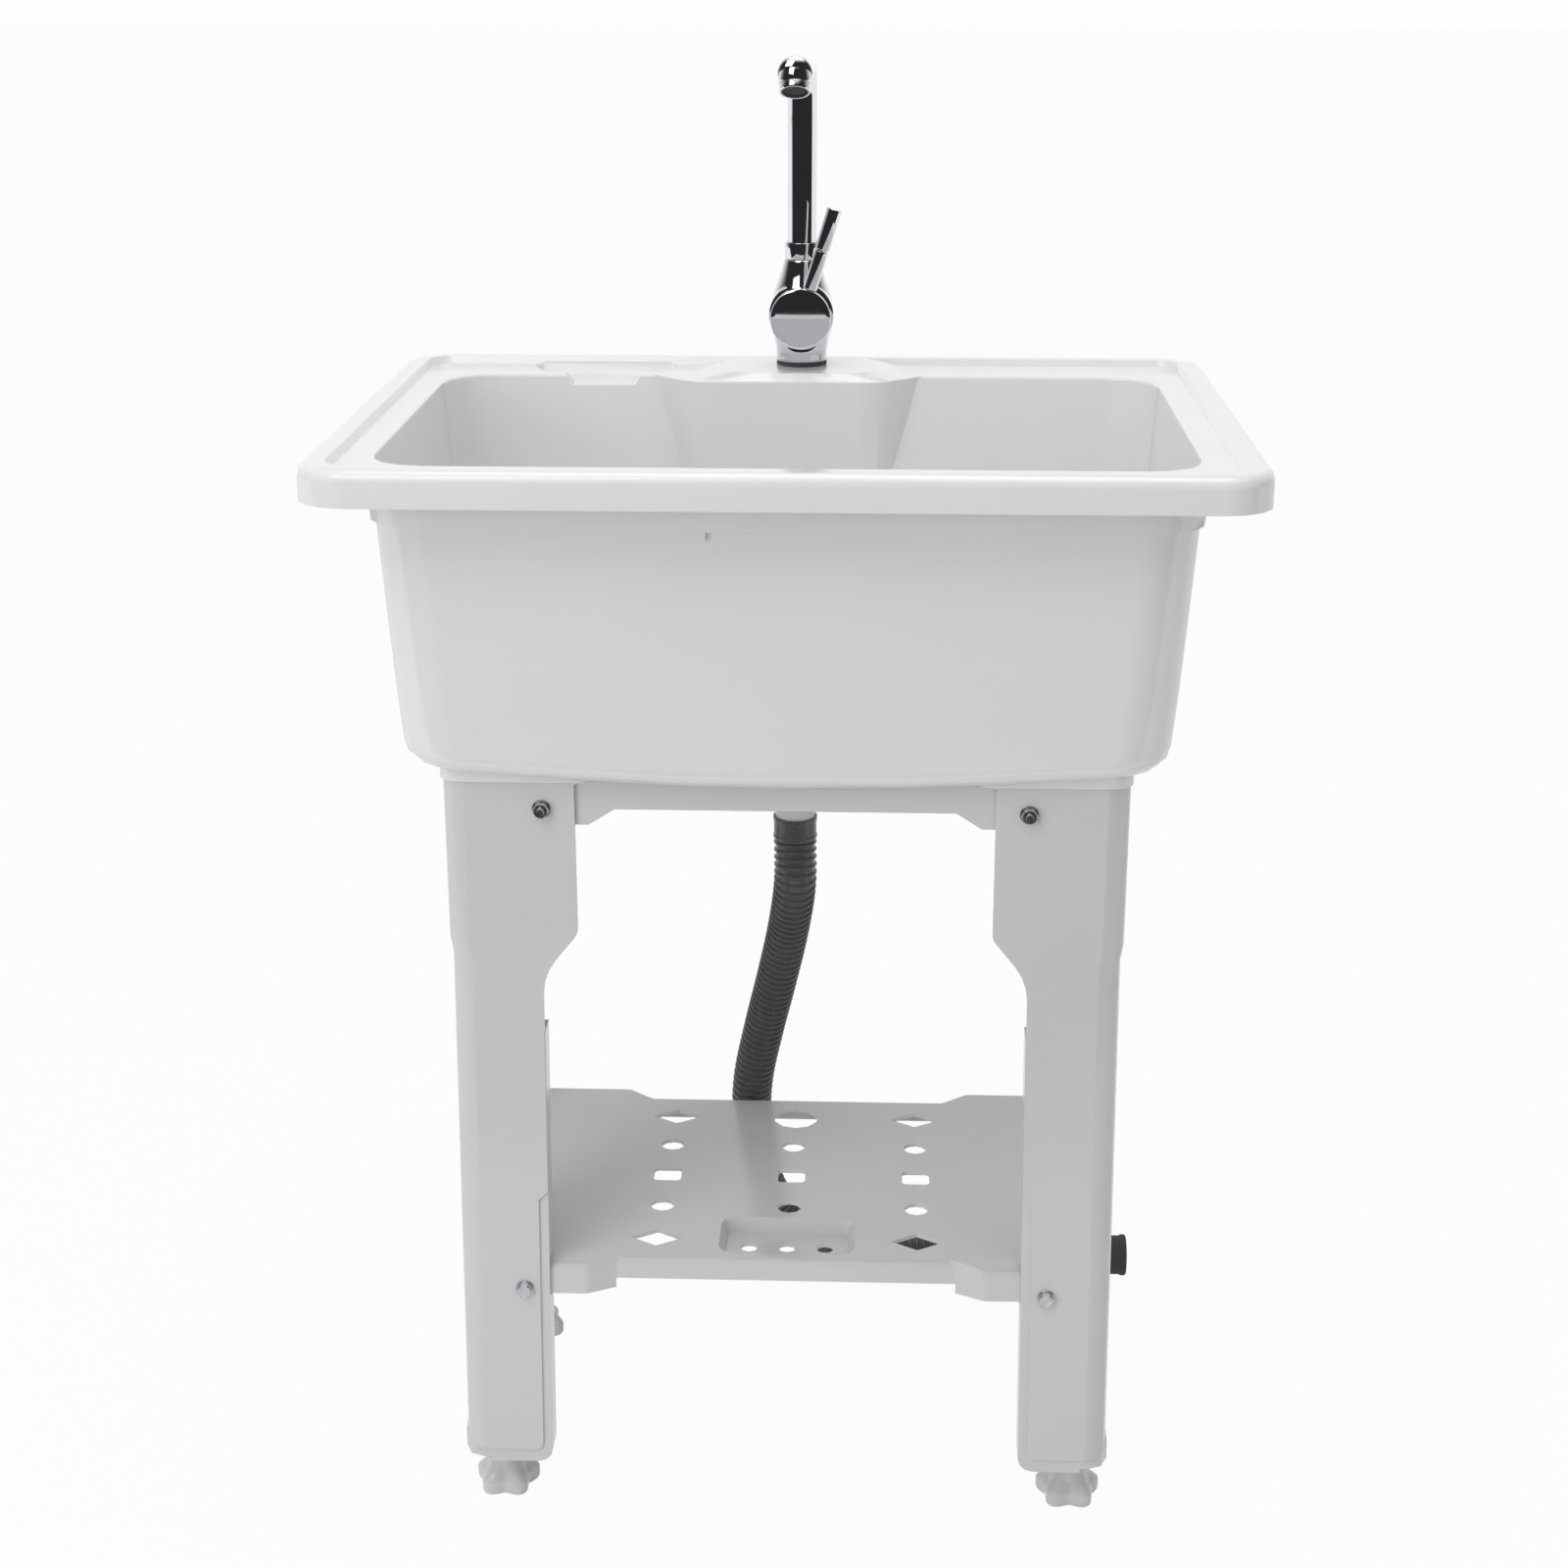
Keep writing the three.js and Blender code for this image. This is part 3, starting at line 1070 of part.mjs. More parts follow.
function makeApron(side) {
  const half = FRAME_HALF_WIDTH - LEG_CORNER - GAP;
  const legEdge = FRAME_HALF_WIDTH - LEG_UPPER_WIDTH;
  const endFlat = legEdge - APRON_END_REACH;
  const padEdge = FRAME_HALF_WIDTH + PAD_OVERHANG - PAD_LENGTH - GAP;
  const steps = 6;
  const topEdge = Array.from({ length: 2 * steps + 1 }, (_, i) => {
    const x = padEdge * (1 - i / steps);
    return [x, TUB_BOTTOM - APRON_TUB_GAP + floorRise(x)];
  });
  const underWeb = LEG_TOP - TOP_WEB - GAP;
  const underPad = PAD_BOTTOM - GAP;
  const points = [
    [-half, APRON_END_BOTTOM],
    [-endFlat, APRON_END_BOTTOM],
    [-endFlat + APRON_GUSSET_RUN, APRON_BOTTOM],
    [endFlat - APRON_GUSSET_RUN, APRON_BOTTOM],
    [endFlat, APRON_END_BOTTOM],
    [half, APRON_END_BOTTOM],
    [half, underWeb],
    [legEdge - GAP, underWeb],
    [legEdge - GAP, underPad],
    [padEdge, underPad],
    ...topEdge,
    [-padEdge, underPad],
    [-legEdge + GAP, underPad],
    [-legEdge + GAP, underWeb],
    [-half, underWeb],
  ].map(([x, z]) => new Vector2(x, z));
  const face = FRAME_MIDDLE + side * (FRAME_HALF_DEPTH - APRON_FACE);
  const rear = face - side * APRON_THICKNESS;
  const plate = upright(points, Math.min(face, rear), Math.max(face, rear));
  const boltX = FRAME_HALF_WIDTH - (side < 0 ? UPPER_BOLT_INSET : BACK_BOLT_INSET);
  const holes = [-1, 1].map((sideX) => rod(BOLT_RADIUS + GAP, -APRON_THICKNESS, 2 * APRON_THICKNESS,
    BOLT_SIDES).rotateX(-Math.PI / 2).translate(sideX * boltX, Math.min(face, rear), UPPER_BOLT_Z));
  return cut(plate, ...holes);
}

add('apron_front', makeApron(-1), satinWhite);
add('apron_back', makeApron(1), satinWhite);

// ---------------------------------------------------------------- shelf

const SHELF_FACE = LEG_WALL + BORDER_SETBACK + GAP; // set behind the leg's boss

function makeShelf() {
  const halfDepth = FRAME_HALF_DEPTH - SHELF_FACE;
  const halfWidth = FRAME_HALF_WIDTH - sideInset(SHELF_TOP) - LEG_WALL - GAP;
  const corner = LEG_CORNER - LEG_WALL - GAP;
  const tab = FRAME_HALF_WIDTH - SHELF_TAB_LENGTH;
  const slope = SHELF_TAB_SLOPE;
  const edge = (inset, z) => {
    const x = halfWidth - inset;
    const front = FRAME_MIDDLE - halfDepth + inset;
    const back = FRAME_MIDDLE + halfDepth - inset;
    const hollow = 8 + inset;
    const nose = Math.max(8 - inset, 2);
    return ringAt(outline([
      [-x, front, corner - inset],
      [-tab + inset, front, nose],
      [-tab + slope + inset, front + SHELF_FRONT_SCALLOP, hollow],
      [tab - slope - inset, front + SHELF_FRONT_SCALLOP, hollow],
      [tab - inset, front, nose],
      [x, front, corner - inset],
      [x, back, corner - inset],
      [tab - inset, back, nose],
      [tab - slope - inset, back - SHELF_BACK_SCALLOP, hollow],
      [-tab + slope + inset, back - SHELF_BACK_SCALLOP, hollow],
      [-tab + inset, back, nose],
      [-x, back, corner - inset],
    ], FINE_STEPS), z);
  };
  const rings = [edge(0, SHELF_TAB_BOTTOM)];
  for (let k = 0; k <= FINE_STEPS; k++) {
    const turn = (k / FINE_STEPS) * (Math.PI / 2);
    const inset = SHELF_EDGE_ROUND * (1 - Math.cos(turn));
    const drop = SHELF_EDGE_ROUND * (1 - Math.sin(turn));
    rings.push(edge(inset, SHELF_TOP - drop));
  }
  const inside = loft([
    edge(SHELF_PLATE, SHELF_TAB_BOTTOM - 1),
    edge(SHELF_PLATE, SHELF_TOP - SHELF_EDGE_ROUND),
    edge(SHELF_EDGE_ROUND, SHELF_TOP - SHELF_PLATE),
  ]);
  const raised = tab - slope;
  const skirtCuts = [
    block(-raised, raised, FRAME_MIDDLE - halfDepth - 1, FRAME_MIDDLE + halfDepth + 1,
      SHELF_TAB_BOTTOM - 1, SHELF_SKIRT_BOTTOM),
    block(-halfWidth - 1, halfWidth + 1, FRAME_MIDDLE - raised / 2, FRAME_MIDDLE + raised / 2,
      SHELF_TAB_BOTTOM - 1, SHELF_SKIRT_BOTTOM),
  ];
  const pocketPlan = (grow) => rectangle(-POCKET_WIDTH / 2 - grow, POCKET_WIDTH / 2 + grow,
    POCKET_FRONT - grow, POCKET_BACK + grow, POCKET_CORNER + grow, FINE_STEPS);
  const pocketFloor = SHELF_TOP - POCKET_DROP;
  const pocketWall = slab(pocketPlan(0), pocketFloor - SHELF_PLATE, SHELF_TOP - 1);
  const pocketVoid = loft([ringAt(pocketPlan(-POCKET_SLOPE - SHELF_PLATE), pocketFloor),
    ringAt(pocketPlan(-SHELF_PLATE), SHELF_TOP), ringAt(pocketPlan(-SHELF_PLATE), SHELF_TOP + 1)]);
  const pocketKeep = common(pocketWall, loft([edge(1, SHELF_TAB_BOTTOM), edge(1, SHELF_TOP)]));

  const through = (points) => slab(points, pocketFloor - 2 * SHELF_PLATE, SHELF_TOP + 1);
  const round = (x, y, radius) => rod(radius, pocketFloor - 2 * SHELF_PLATE, SHELF_TOP + 1, SMALL_SIDES)
    .translate(x, y, 0);
  const diamond = (x, y) => through(outline([[x - DIAMOND_LENGTH / 2, y, 1], [x, y - DIAMOND_DEPTH / 2, 1],
    [x + DIAMOND_LENGTH / 2, y, 1], [x, y + DIAMOND_DEPTH / 2, 1]], 2));
  const square = (x, y) => through(rectangle(x - SQUARE_HOLE / 2, x + SQUARE_HOLE / 2, y - SQUARE_HOLE / 2,
    y + SQUARE_HOLE / 2, 3, 2));
  const rowY = (row) => HOLE_FRONT_ROW + row * HOLE_PITCH_Y;
  const holes = [-1, 0, 1].flatMap((column) => {
    const x = column * HOLE_PITCH_X;
    const cuts = [
      round(x, rowY(1), SMALL_HOLE_RADIUS),
      square(x, rowY(2)),
      round(x, rowY(3), SMALL_HOLE_RADIUS),
    ];
    if (column === 0) return [...cuts, round(x, rowY(4), BIG_HOLE_RADIUS)];
    return [...cuts, diamond(x, rowY(0)), diamond(x, rowY(4))];
  });
  const pocketHoles = [-1, 0, 1].map((i) => round(i * POCKET_HOLE_PITCH, (POCKET_FRONT + POCKET_BACK) / 2,
    POCKET_HOLE_RADIUS));
  const boltHole = () => rod(BOLT_RADIUS + GAP, -LEG_CORNER, LEG_CORNER, BOLT_SIDES).rotateX(-Math.PI / 2);
  const boltHoles = [-1, 1].flatMap((side) => [
    boltHole()
      .translate(side * (FRAME_HALF_WIDTH - LOWER_BOLT_INSET), FRAME_MIDDLE - halfDepth, LOWER_BOLT_Z),
    swapped(boltHole()).translate(side * halfWidth, FRAME_MIDDLE + FRAME_HALF_DEPTH - SIDE_BOLT_Y,
      LOWER_BOLT_Z),
  ]);
  const tray = cut(loft(rings), inside, ...skirtCuts);
  return cut(joined(tray, pocketKeep), pocketVoid, ...holes, ...pocketHoles, ...boltHoles);
}

add('shelf', makeShelf(), satinWhite);

// ---------------------------------------------------------------- fasteners
// A bolt runs inward along +Y of the corner frame from a seat on its outer side.

// Headed bolt with its washer: the head sits on one side of the grip, the shank passes through it.
function makeBolt(headSeat, tip) {
  const away = Math.sign(headSeat - tip);
  const washerEnd = headSeat + away * WASHER_THICKNESS;
  const headEnd = washerEnd + away * HEAD_HEIGHT;
  const span = (from, to, maker) => maker(Math.min(from, to), Math.max(from, to));
  return joined(
    span(headSeat, washerEnd, (a, b) => rod(WASHER_RADIUS, a, b, WASHER_SIDES)),
    span(washerEnd - away * 0.5, headEnd, hexagon),
    span(headSeat + away * 0.5, tip, (a, b) => rod(BOLT_RADIUS, a, b, BOLT_SIDES)));
}

// Nut with its washer; seat is the face that bears on the work.
function makeNut(seat, away) {
  const end = seat + away * (WASHER_THICKNESS + NUT_HEIGHT);
  const washerEnd = seat + away * WASHER_THICKNESS;
  const body = joined(
    rod(WASHER_RADIUS, Math.min(seat, washerEnd), Math.max(seat, washerEnd), WASHER_SIDES),
    hexagon(Math.min(seat + away * 0.5, end), Math.max(seat + away * 0.5, end)));
  return cut(body, rod(BOLT_RADIUS + GAP, Math.min(seat, end) - 1,
    Math.max(seat, end) + 1, BOLT_SIDES));
}

const nutStack = WASHER_THICKNESS + NUT_HEIGHT + BOLT_PROTRUSION;
const onFace = (geometry, x, z) => geometry.rotateX(-Math.PI / 2).translate(x, 0, z);
const onSide = (geometry) => swapped(geometry.rotateX(-Math.PI / 2))
  .translate(0, SIDE_BOLT_Y, LOWER_BOLT_Z);
const apronInner = APRON_FACE + APRON_THICKNESS + GAP;
const skirtInner = SHELF_FACE + SHELF_PLATE + GAP;
const sideOuter = sideInset(LOWER_BOLT_Z - WASHER_RADIUS) - GAP;
const sideSkirtInner = sideInset(SHELF_TOP) + LEG_WALL + GAP + SHELF_PLATE + GAP;

// The apron bolts pass outward, so the nut and the bolt's end show; the shelf bolts pass inward.
for (const [row, inset] of [[FRONT, UPPER_BOLT_INSET], [BACK, BACK_BOLT_INSET]]) {
  const bolt = onFace(makeBolt(apronInner, -GAP - nutStack), inset, UPPER_BOLT_Z);
  const nut = onFace(makeNut(-GAP, -1), inset, UPPER_BOLT_Z);
  addAtCorners('apron_bolt', bolt, zinc, [row]);
  addAtCorners('apron_nut', nut, zinc, [row]);
}
const shelfBolt = onFace(makeBolt(-GAP, skirtInner + nutStack), LOWER_BOLT_INSET, LOWER_BOLT_Z);
addAtCorners('shelf_bolt', shelfBolt, zinc, [FRONT]);
addAtCorners('shelf_nut', onFace(makeNut(skirtInner, 1), LOWER_BOLT_INSET, LOWER_BOLT_Z), zinc, [FRONT]);
addAtCorners('shelf_bolt', onSide(makeBolt(sideOuter, sideSkirtInner + nutStack)), zinc, [BACK]);
addAtCorners('shelf_nut', onSide(makeNut(sideSkirtInner, 1)), zinc, [BACK]);

// ---------------------------------------------------------------- tap

const TAP_SEAT = RIM_TOP + GAP + BASE_RING_HEIGHT + GAP;
const tap = new THREE.Group();
tap.position.set(0, TAP_Y, RIM_TOP);
sink.add(tap);
const SEAT = TAP_SEAT - RIM_TOP; // tap parts are drawn with the deck at zero
const BODY_TOP = SEAT + TAP_BODY_HEIGHT - BASE_RING_HEIGHT - 2 * GAP;

add('tap_base_ring', tube(BASE_RING_RADIUS, SHANK_RADIUS + GAP, GAP, GAP + BASE_RING_HEIGHT), blackRubber,
  tap);

// Smooth outline of the tap's body between its base and its top.
function bodyProfile() {
  const curve = new THREE.SplineCurve([
    new Vector2(TAP_BASE_RADIUS, SEAT),
    new Vector2(TAP_BASE_RADIUS, SEAT + 9),
    new Vector2(TAP_BULGE_RADIUS - 1.4, TAP_AXIS_HEIGHT - 11),
    new Vector2(TAP_BULGE_RADIUS, TAP_AXIS_HEIGHT),
    new Vector2(TAP_BULGE_RADIUS - 2.6, TAP_AXIS_HEIGHT + 14),
    new Vector2(TAP_TOP_RADIUS + 3, TAP_AXIS_HEIGHT + 30),
    new Vector2(TAP_TOP_RADIUS, BODY_TOP),
  ]);
  return curve.getPoints(PROFILE_STEPS).map(({ x, y }) => [x, y]);
}

function makeTapBody() {
  const column = turned([[0, SEAT], ...bodyProfile(), [0, BODY_TOP]], TAP_SIDES);
  const pivotAway = PIVOT_SETBACK;
  const ball = new THREE.SphereGeometry(HOUSING_BALL_RADIUS, ROUND_SIDES, ROUND_SIDES / 2)
    .translate(0, -pivotAway, TAP_AXIS_HEIGHT);
  const drum = facingFront(turned([
    [0, 0],
    [TAP_BULGE_RADIUS, 0],
    [TAP_BULGE_RADIUS, pivotAway + BULGE_FRONT - CAP_EDGE_ROUND],
    [TAP_BULGE_RADIUS - CAP_EDGE_ROUND, pivotAway + BULGE_FRONT],
    [0, pivotAway + BULGE_FRONT],
  ], TAP_SIDES)).translate(0, 0, TAP_AXIS_HEIGHT);
  const frontCut = block(-CAP_RADIUS, CAP_RADIUS, -3 * CAP_RADIUS, -pivotAway - HOUSING_FRONT,
    TAP_AXIS_HEIGHT - CAP_RADIUS, TAP_AXIS_HEIGHT + CAP_RADIUS);
  const cartridgeBack = CARTRIDGE_FRONT + CARTRIDGE_LENGTH + GAP;
  const bore = facingFront(rod(CARTRIDGE_BORE, pivotAway - cartridgeBack, pivotAway + 2 * HOUSING_FRONT))
    .translate(0, 0, TAP_AXIS_HEIGHT);
  const spoutSocket = rod(SPOUT_RADIUS + GAP, BODY_TOP - SPOUT_SOCKET_DEPTH, BODY_TOP + 1);
  const shankSocket = rod(SHANK_RADIUS + GAP, SEAT - 1, SEAT + SHANK_SOCKET);
  const inletTop = SEAT + SHANK_SOCKET + INLET_SOCKET;
  const inletSocket = (side) => rod(INLET_RADIUS + GAP, SEAT, inletTop, SMALL_SIDES)
    .translate(side * INLET_SPACING, 0, 0);
  const inletSockets = [-1, 1].map(inletSocket);
  const housing = joined(cut(joined(column, drum), makeCapSweep()), ball);
  return cut(housing, frontCut, bore, spoutSocket, shankSocket, ...inletSockets);
}

// Room that the cap's rear and edge need under the housing while the lever tips forward.
function makeCapSweep() {
  const tipped = (radius, along) => [
    radius * Math.cos(LEVER_LIFT) + along * Math.sin(LEVER_LIFT),
    along * Math.cos(LEVER_LIFT) - radius * Math.sin(LEVER_LIFT),
  ];
  const rear = CAP_FRONT - CAP_THICKNESS - CAP_CLEARANCE;
  const edge = CAP_RADIUS + CAP_CLEARANCE;
  const [, front] = tipped(0, rear);
  const sweep = facingFront(turned([
    [0, front],
    tipped(0, rear),
    tipped(edge - CAP_EDGE_ROUND, rear),
    tipped(edge, rear + CAP_EDGE_ROUND),
    tipped(edge, CAP_FRONT),
    [0, CAP_FRONT],
  ], TAP_SIDES)).translate(0, -PIVOT_SETBACK, TAP_AXIS_HEIGHT);
  const reach = 2 * CAP_RADIUS;
  const upperHalf = block(-reach, reach, -2 * reach, reach, TAP_AXIS_HEIGHT, TAP_AXIS_HEIGHT + reach);
  return cut(sweep, upperHalf);
}

add('tap_body', makeTapBody(), chrome, tap);
add('spout_collar', tube(COLLAR_RADIUS, SPOUT_RADIUS + GAP, BODY_TOP + GAP, BODY_TOP + GAP + COLLAR_HEIGHT),
  chrome, tap);

// ---- spout: a column, a bend and an arm in one tube, with a tilted nozzle at its head

// Places a shape drawn along +Z with zero at the spout head's centre, pointing along the nozzle.
function onNozzle(geometry) {
  return geometry.rotateX(Math.PI - NOZZLE_TILT).translate(0, -SPOUT_REACH, SPOUT_AXIS_HEIGHT);
}

function makeSpout() {
  const bottom = BODY_TOP - SPOUT_SOCKET_DEPTH + GAP;
  const bendStart = SPOUT_AXIS_HEIGHT - SPOUT_BEND;
  const stations = [[new Vector3(0, 0, bottom), SPOUT_RADIUS]];
  for (let k = 0; k <= BEND_STEPS; k++) {
    const turn = (k / BEND_STEPS) * (Math.PI / 2);
    const forward = SPOUT_BEND * (1 - Math.cos(turn));
    const rise = SPOUT_BEND * Math.sin(turn);
    stations.push([new Vector3(0, -forward, bendStart + rise), SPOUT_RADIUS]);
  }
  stations.push([new Vector3(0, -SPOUT_REACH + SPOUT_HEAD_RADIUS, SPOUT_AXIS_HEIGHT), SPOUT_HEAD_RADIUS]);
  for (let k = 0; k < DOME_STEPS; k++) {
    const turn = (k / DOME_STEPS) * (Math.PI / 2);
    stations.push([new Vector3(0, -SPOUT_REACH - SPOUT_DOME * Math.sin(turn), SPOUT_AXIS_HEIGHT),
      SPOUT_HEAD_RADIUS * Math.cos(turn)]);
  }
  const nozzle = onNozzle(rod(NOZZLE_RADIUS, 0, NOZZLE_LENGTH));
  const socket = onNozzle(rod(AERATOR_SPIGOT_RADIUS + GAP, NOZZLE_LENGTH - AERATOR_SPIGOT - GAP,
    NOZZLE_LENGTH + 1));
  const seat = onNozzle(rod(AERATOR_RADIUS + GAP, NOZZLE_LENGTH, NOZZLE_LENGTH + 2 * AERATOR_RADIUS));
  return cut(joined(bentBar(stations), nozzle), socket, seat);
}

// Round bar through stations of [point, radius] that lie in a YZ plane, capped flat at both ends.
function bentBar(stations) {
  const across = new Vector3(1, 0, 0);
  const positions = [];
  stations.forEach(([point, radius], i) => {
    const [before] = stations[Math.max(i - 1, 0)];
    const [after] = stations[Math.min(i + 1, stations.length - 1)];
    const normal = new Vector3().crossVectors(across, after.clone().sub(before).normalize());
    for (let side = 0; side < TAP_SIDES; side++) {
      const angle = (side / TAP_SIDES) * 2 * Math.PI;
      positions.push(...point.clone().addScaledVector(across, radius * Math.cos(angle))
        .addScaledVector(normal, radius * Math.sin(angle)).toArray());
    }
  });
  const faces = [];
  for (let ring = 0; ring < stations.length - 1; ring++) {
    for (let i = 0; i < TAP_SIDES; i++) {
      const j = (i + 1) % TAP_SIDES;
      const low = ring * TAP_SIDES;
      const high = low + TAP_SIDES;
      faces.push(low + i, low + j, high + j, low + i, high + j, high + i);
    }
  }
  const last = (stations.length - 1) * TAP_SIDES;
  for (let i = 1; i < TAP_SIDES - 1; i++) {
    faces.push(0, i + 1, i, last, last + i, last + i + 1);
  }
  const geometry = new THREE.BufferGeometry();
  geometry.setAttribute('position', new THREE.Float32BufferAttribute(positions, 3));
  geometry.setIndex(faces);
  return closed(geometry);
}

const spoutGroup = new THREE.Group();
tap.add(spoutGroup);
add('spout', makeSpout(), chrome, spoutGroup);
const AERATOR_START = NOZZLE_LENGTH + GAP;
const INSERT_TOP = AERATOR_START + AERATOR_LENGTH - AERATOR_WALL;
add('aerator_housing', onNozzle(turned([
  [AERATOR_BORE, AERATOR_START - AERATOR_SPIGOT],
  [AERATOR_SPIGOT_RADIUS, AERATOR_START - AERATOR_SPIGOT],
  [AERATOR_SPIGOT_RADIUS, AERATOR_START],
  [AERATOR_RADIUS, AERATOR_START],
  [AERATOR_RADIUS, AERATOR_START + AERATOR_LENGTH - AERATOR_WALL / 2],
  [AERATOR_RADIUS - AERATOR_WALL / 2, AERATOR_START + AERATOR_LENGTH],
  [AERATOR_RADIUS - AERATOR_WALL, AERATOR_START + AERATOR_LENGTH],
  [AERATOR_RADIUS - AERATOR_WALL, AERATOR_START + AERATOR_WALL],
  [AERATOR_BORE, AERATOR_START + AERATOR_WALL],
])), chrome, spoutGroup);
add('aerator_insert', onNozzle(rod(AERATOR_RADIUS - AERATOR_WALL - GAP, AERATOR_START + AERATOR_WALL + GAP,
  INSERT_TOP)), blackRubber, spoutGroup);

// ---- cartridge and lever, drawn along the cartridge's axis with zero at the lever's pivot

const leverGroup = new THREE.Group();
leverGroup.position.set(0, -PIVOT_SETBACK, TAP_AXIS_HEIGHT);
tap.add(leverGroup);

function makeCartridge() {
  const body = rod(CARTRIDGE_BORE - GAP, -CARTRIDGE_FRONT - CARTRIDGE_LENGTH, -CARTRIDGE_FRONT);
  const pocket = rod(ROTOR_RADIUS + GAP, -CARTRIDGE_FRONT - ROTOR_DEPTH - GAP, 1);
  return facingFront(cut(body, pocket));
}

function makeCartridgeNut() {
  const back = -CARTRIDGE_FRONT + GAP;
  return facingFront(tube(CARTRIDGE_BORE - GAP, CARTRIDGE_NUT_BORE, back, back + CARTRIDGE_NUT_LENGTH));
}

// Rotor with the slot in which the lever's spindle tilts; the slot lies across the lever's direction.
function makeRotor() {
  const body = rod(ROTOR_RADIUS, -CARTRIDGE_FRONT - ROTOR_DEPTH, ROTOR_FRONT);
  const slotHalf = SPINDLE_RADIUS + GAP;
  const slotBottom = -Math.hypot(SPINDLE_END, SPINDLE_RADIUS) - GAP;
  const slot = block(-slotHalf, slotHalf, -ROTOR_SLOT_HEIGHT / 2, ROTOR_SLOT_HEIGHT / 2,
    slotBottom, ROTOR_FRONT + 1);
  return facingFront(cut(body, slot)).rotateY(LEVER_REST_ANGLE);
}

// Disc-fronted cap, hollowed round the housing's ball, with the spindle that drives the rotor.
function makeHandleCap() {
  const rear = CAP_FRONT - CAP_THICKNESS;
  const disc = turned([
    [0, rear],
    [CAP_RADIUS - CAP_EDGE_ROUND, rear],
    [CAP_RADIUS, rear + CAP_EDGE_ROUND],
    [CAP_RADIUS, CAP_FRONT - 2 * CAP_EDGE_ROUND],
    [CAP_RADIUS - CAP_EDGE_ROUND / 2, CAP_FRONT - CAP_EDGE_ROUND],
    [CAP_RADIUS - 2 * CAP_EDGE_ROUND, CAP_FRONT - CAP_EDGE_ROUND / 3],
    [0, CAP_FRONT],
  ], TAP_SIDES);
  const hollowRadius = HOUSING_BALL_RADIUS + CAP_CLEARANCE;
  const hollow = new THREE.SphereGeometry(hollowRadius, ROUND_SIDES, ROUND_SIDES / 2);
  const spindle = rod(SPINDLE_RADIUS, -SPINDLE_END, hollowRadius + CAP_CLEARANCE, SMALL_SIDES);
  const holeBottom = CAP_RADIUS - LEVER_SPIGOT - GAP;
  const leverHole = rod(LEVER_SPIGOT_RADIUS + GAP, holeBottom, CAP_RADIUS + 1, SMALL_SIDES)
    .rotateX(-Math.PI / 2).translate(0, 0, CAP_FRONT - CAP_THICKNESS / 2);
  return facingFront(cut(joined(cut(disc, hollow), spindle), leverHole)).rotateY(LEVER_REST_ANGLE);
}

function makeLeverPin() {
  const foot = CAP_RADIUS + GAP;
  const top = foot + LEVER_LENGTH;
  const groove = foot + LEVER_LENGTH / 2 - LEVER_GROOVE_WIDTH;
  return turned([
    [0, foot - LEVER_SPIGOT],
    [LEVER_SPIGOT_RADIUS, foot - LEVER_SPIGOT],
    [LEVER_SPIGOT_RADIUS, foot],
    [LEVER_RADIUS - 0.3, foot],
    [LEVER_RADIUS - 0.3, groove],
    [LEVER_RADIUS - LEVER_GROOVE, groove],
    [LEVER_RADIUS - LEVER_GROOVE, groove + LEVER_GROOVE_WIDTH],
    [LEVER_RADIUS, groove + LEVER_GROOVE_WIDTH],
    [LEVER_RADIUS, top - 1],
    [LEVER_RADIUS - 1, top],
    [0, top],
  ], SMALL_SIDES).translate(0, -(CAP_FRONT - CAP_THICKNESS / 2), 0).rotateY(LEVER_REST_ANGLE);
}

add('cartridge', makeCartridge(), ceramicWhite, leverGroup);
add('cartridge_nut', makeCartridgeNut(), brass, leverGroup);
add('cartridge_rotor', makeRotor(), brass, leverGroup);
add('handle_cap', makeHandleCap(), chrome, leverGroup);
add('lever_pin', makeLeverPin(), chrome, leverGroup);

// ---- fixing under the deck

const DECK_BOTTOM = DECK_UNDERSIDE - RIM_TOP;
const WASHER_TOP = DECK_BOTTOM - GAP;
const NUT_TOP = WASHER_TOP - DECK_WASHER_THICKNESS - GAP;
const SHANK_TOP = SEAT + SHANK_SOCKET - GAP;
add('tap_shank', tube(SHANK_RADIUS, SHANK_BORE, SHANK_TOP - SHANK_LENGTH, SHANK_TOP), brass, tap);
const WASHER_BOTTOM = WASHER_TOP - DECK_WASHER_THICKNESS;
add('deck_washer', tube(DECK_WASHER_RADIUS, SHANK_RADIUS + GAP, WASHER_BOTTOM, WASHER_TOP), blackRubber,
  tap);
add('tap_locknut', cut(rod(LOCK_NUT_RADIUS, NUT_TOP - LOCK_NUT_HEIGHT, NUT_TOP, 6),
  rod(SHANK_RADIUS + GAP, NUT_TOP - LOCK_NUT_HEIGHT - 1, NUT_TOP + 1)), brass, tap);

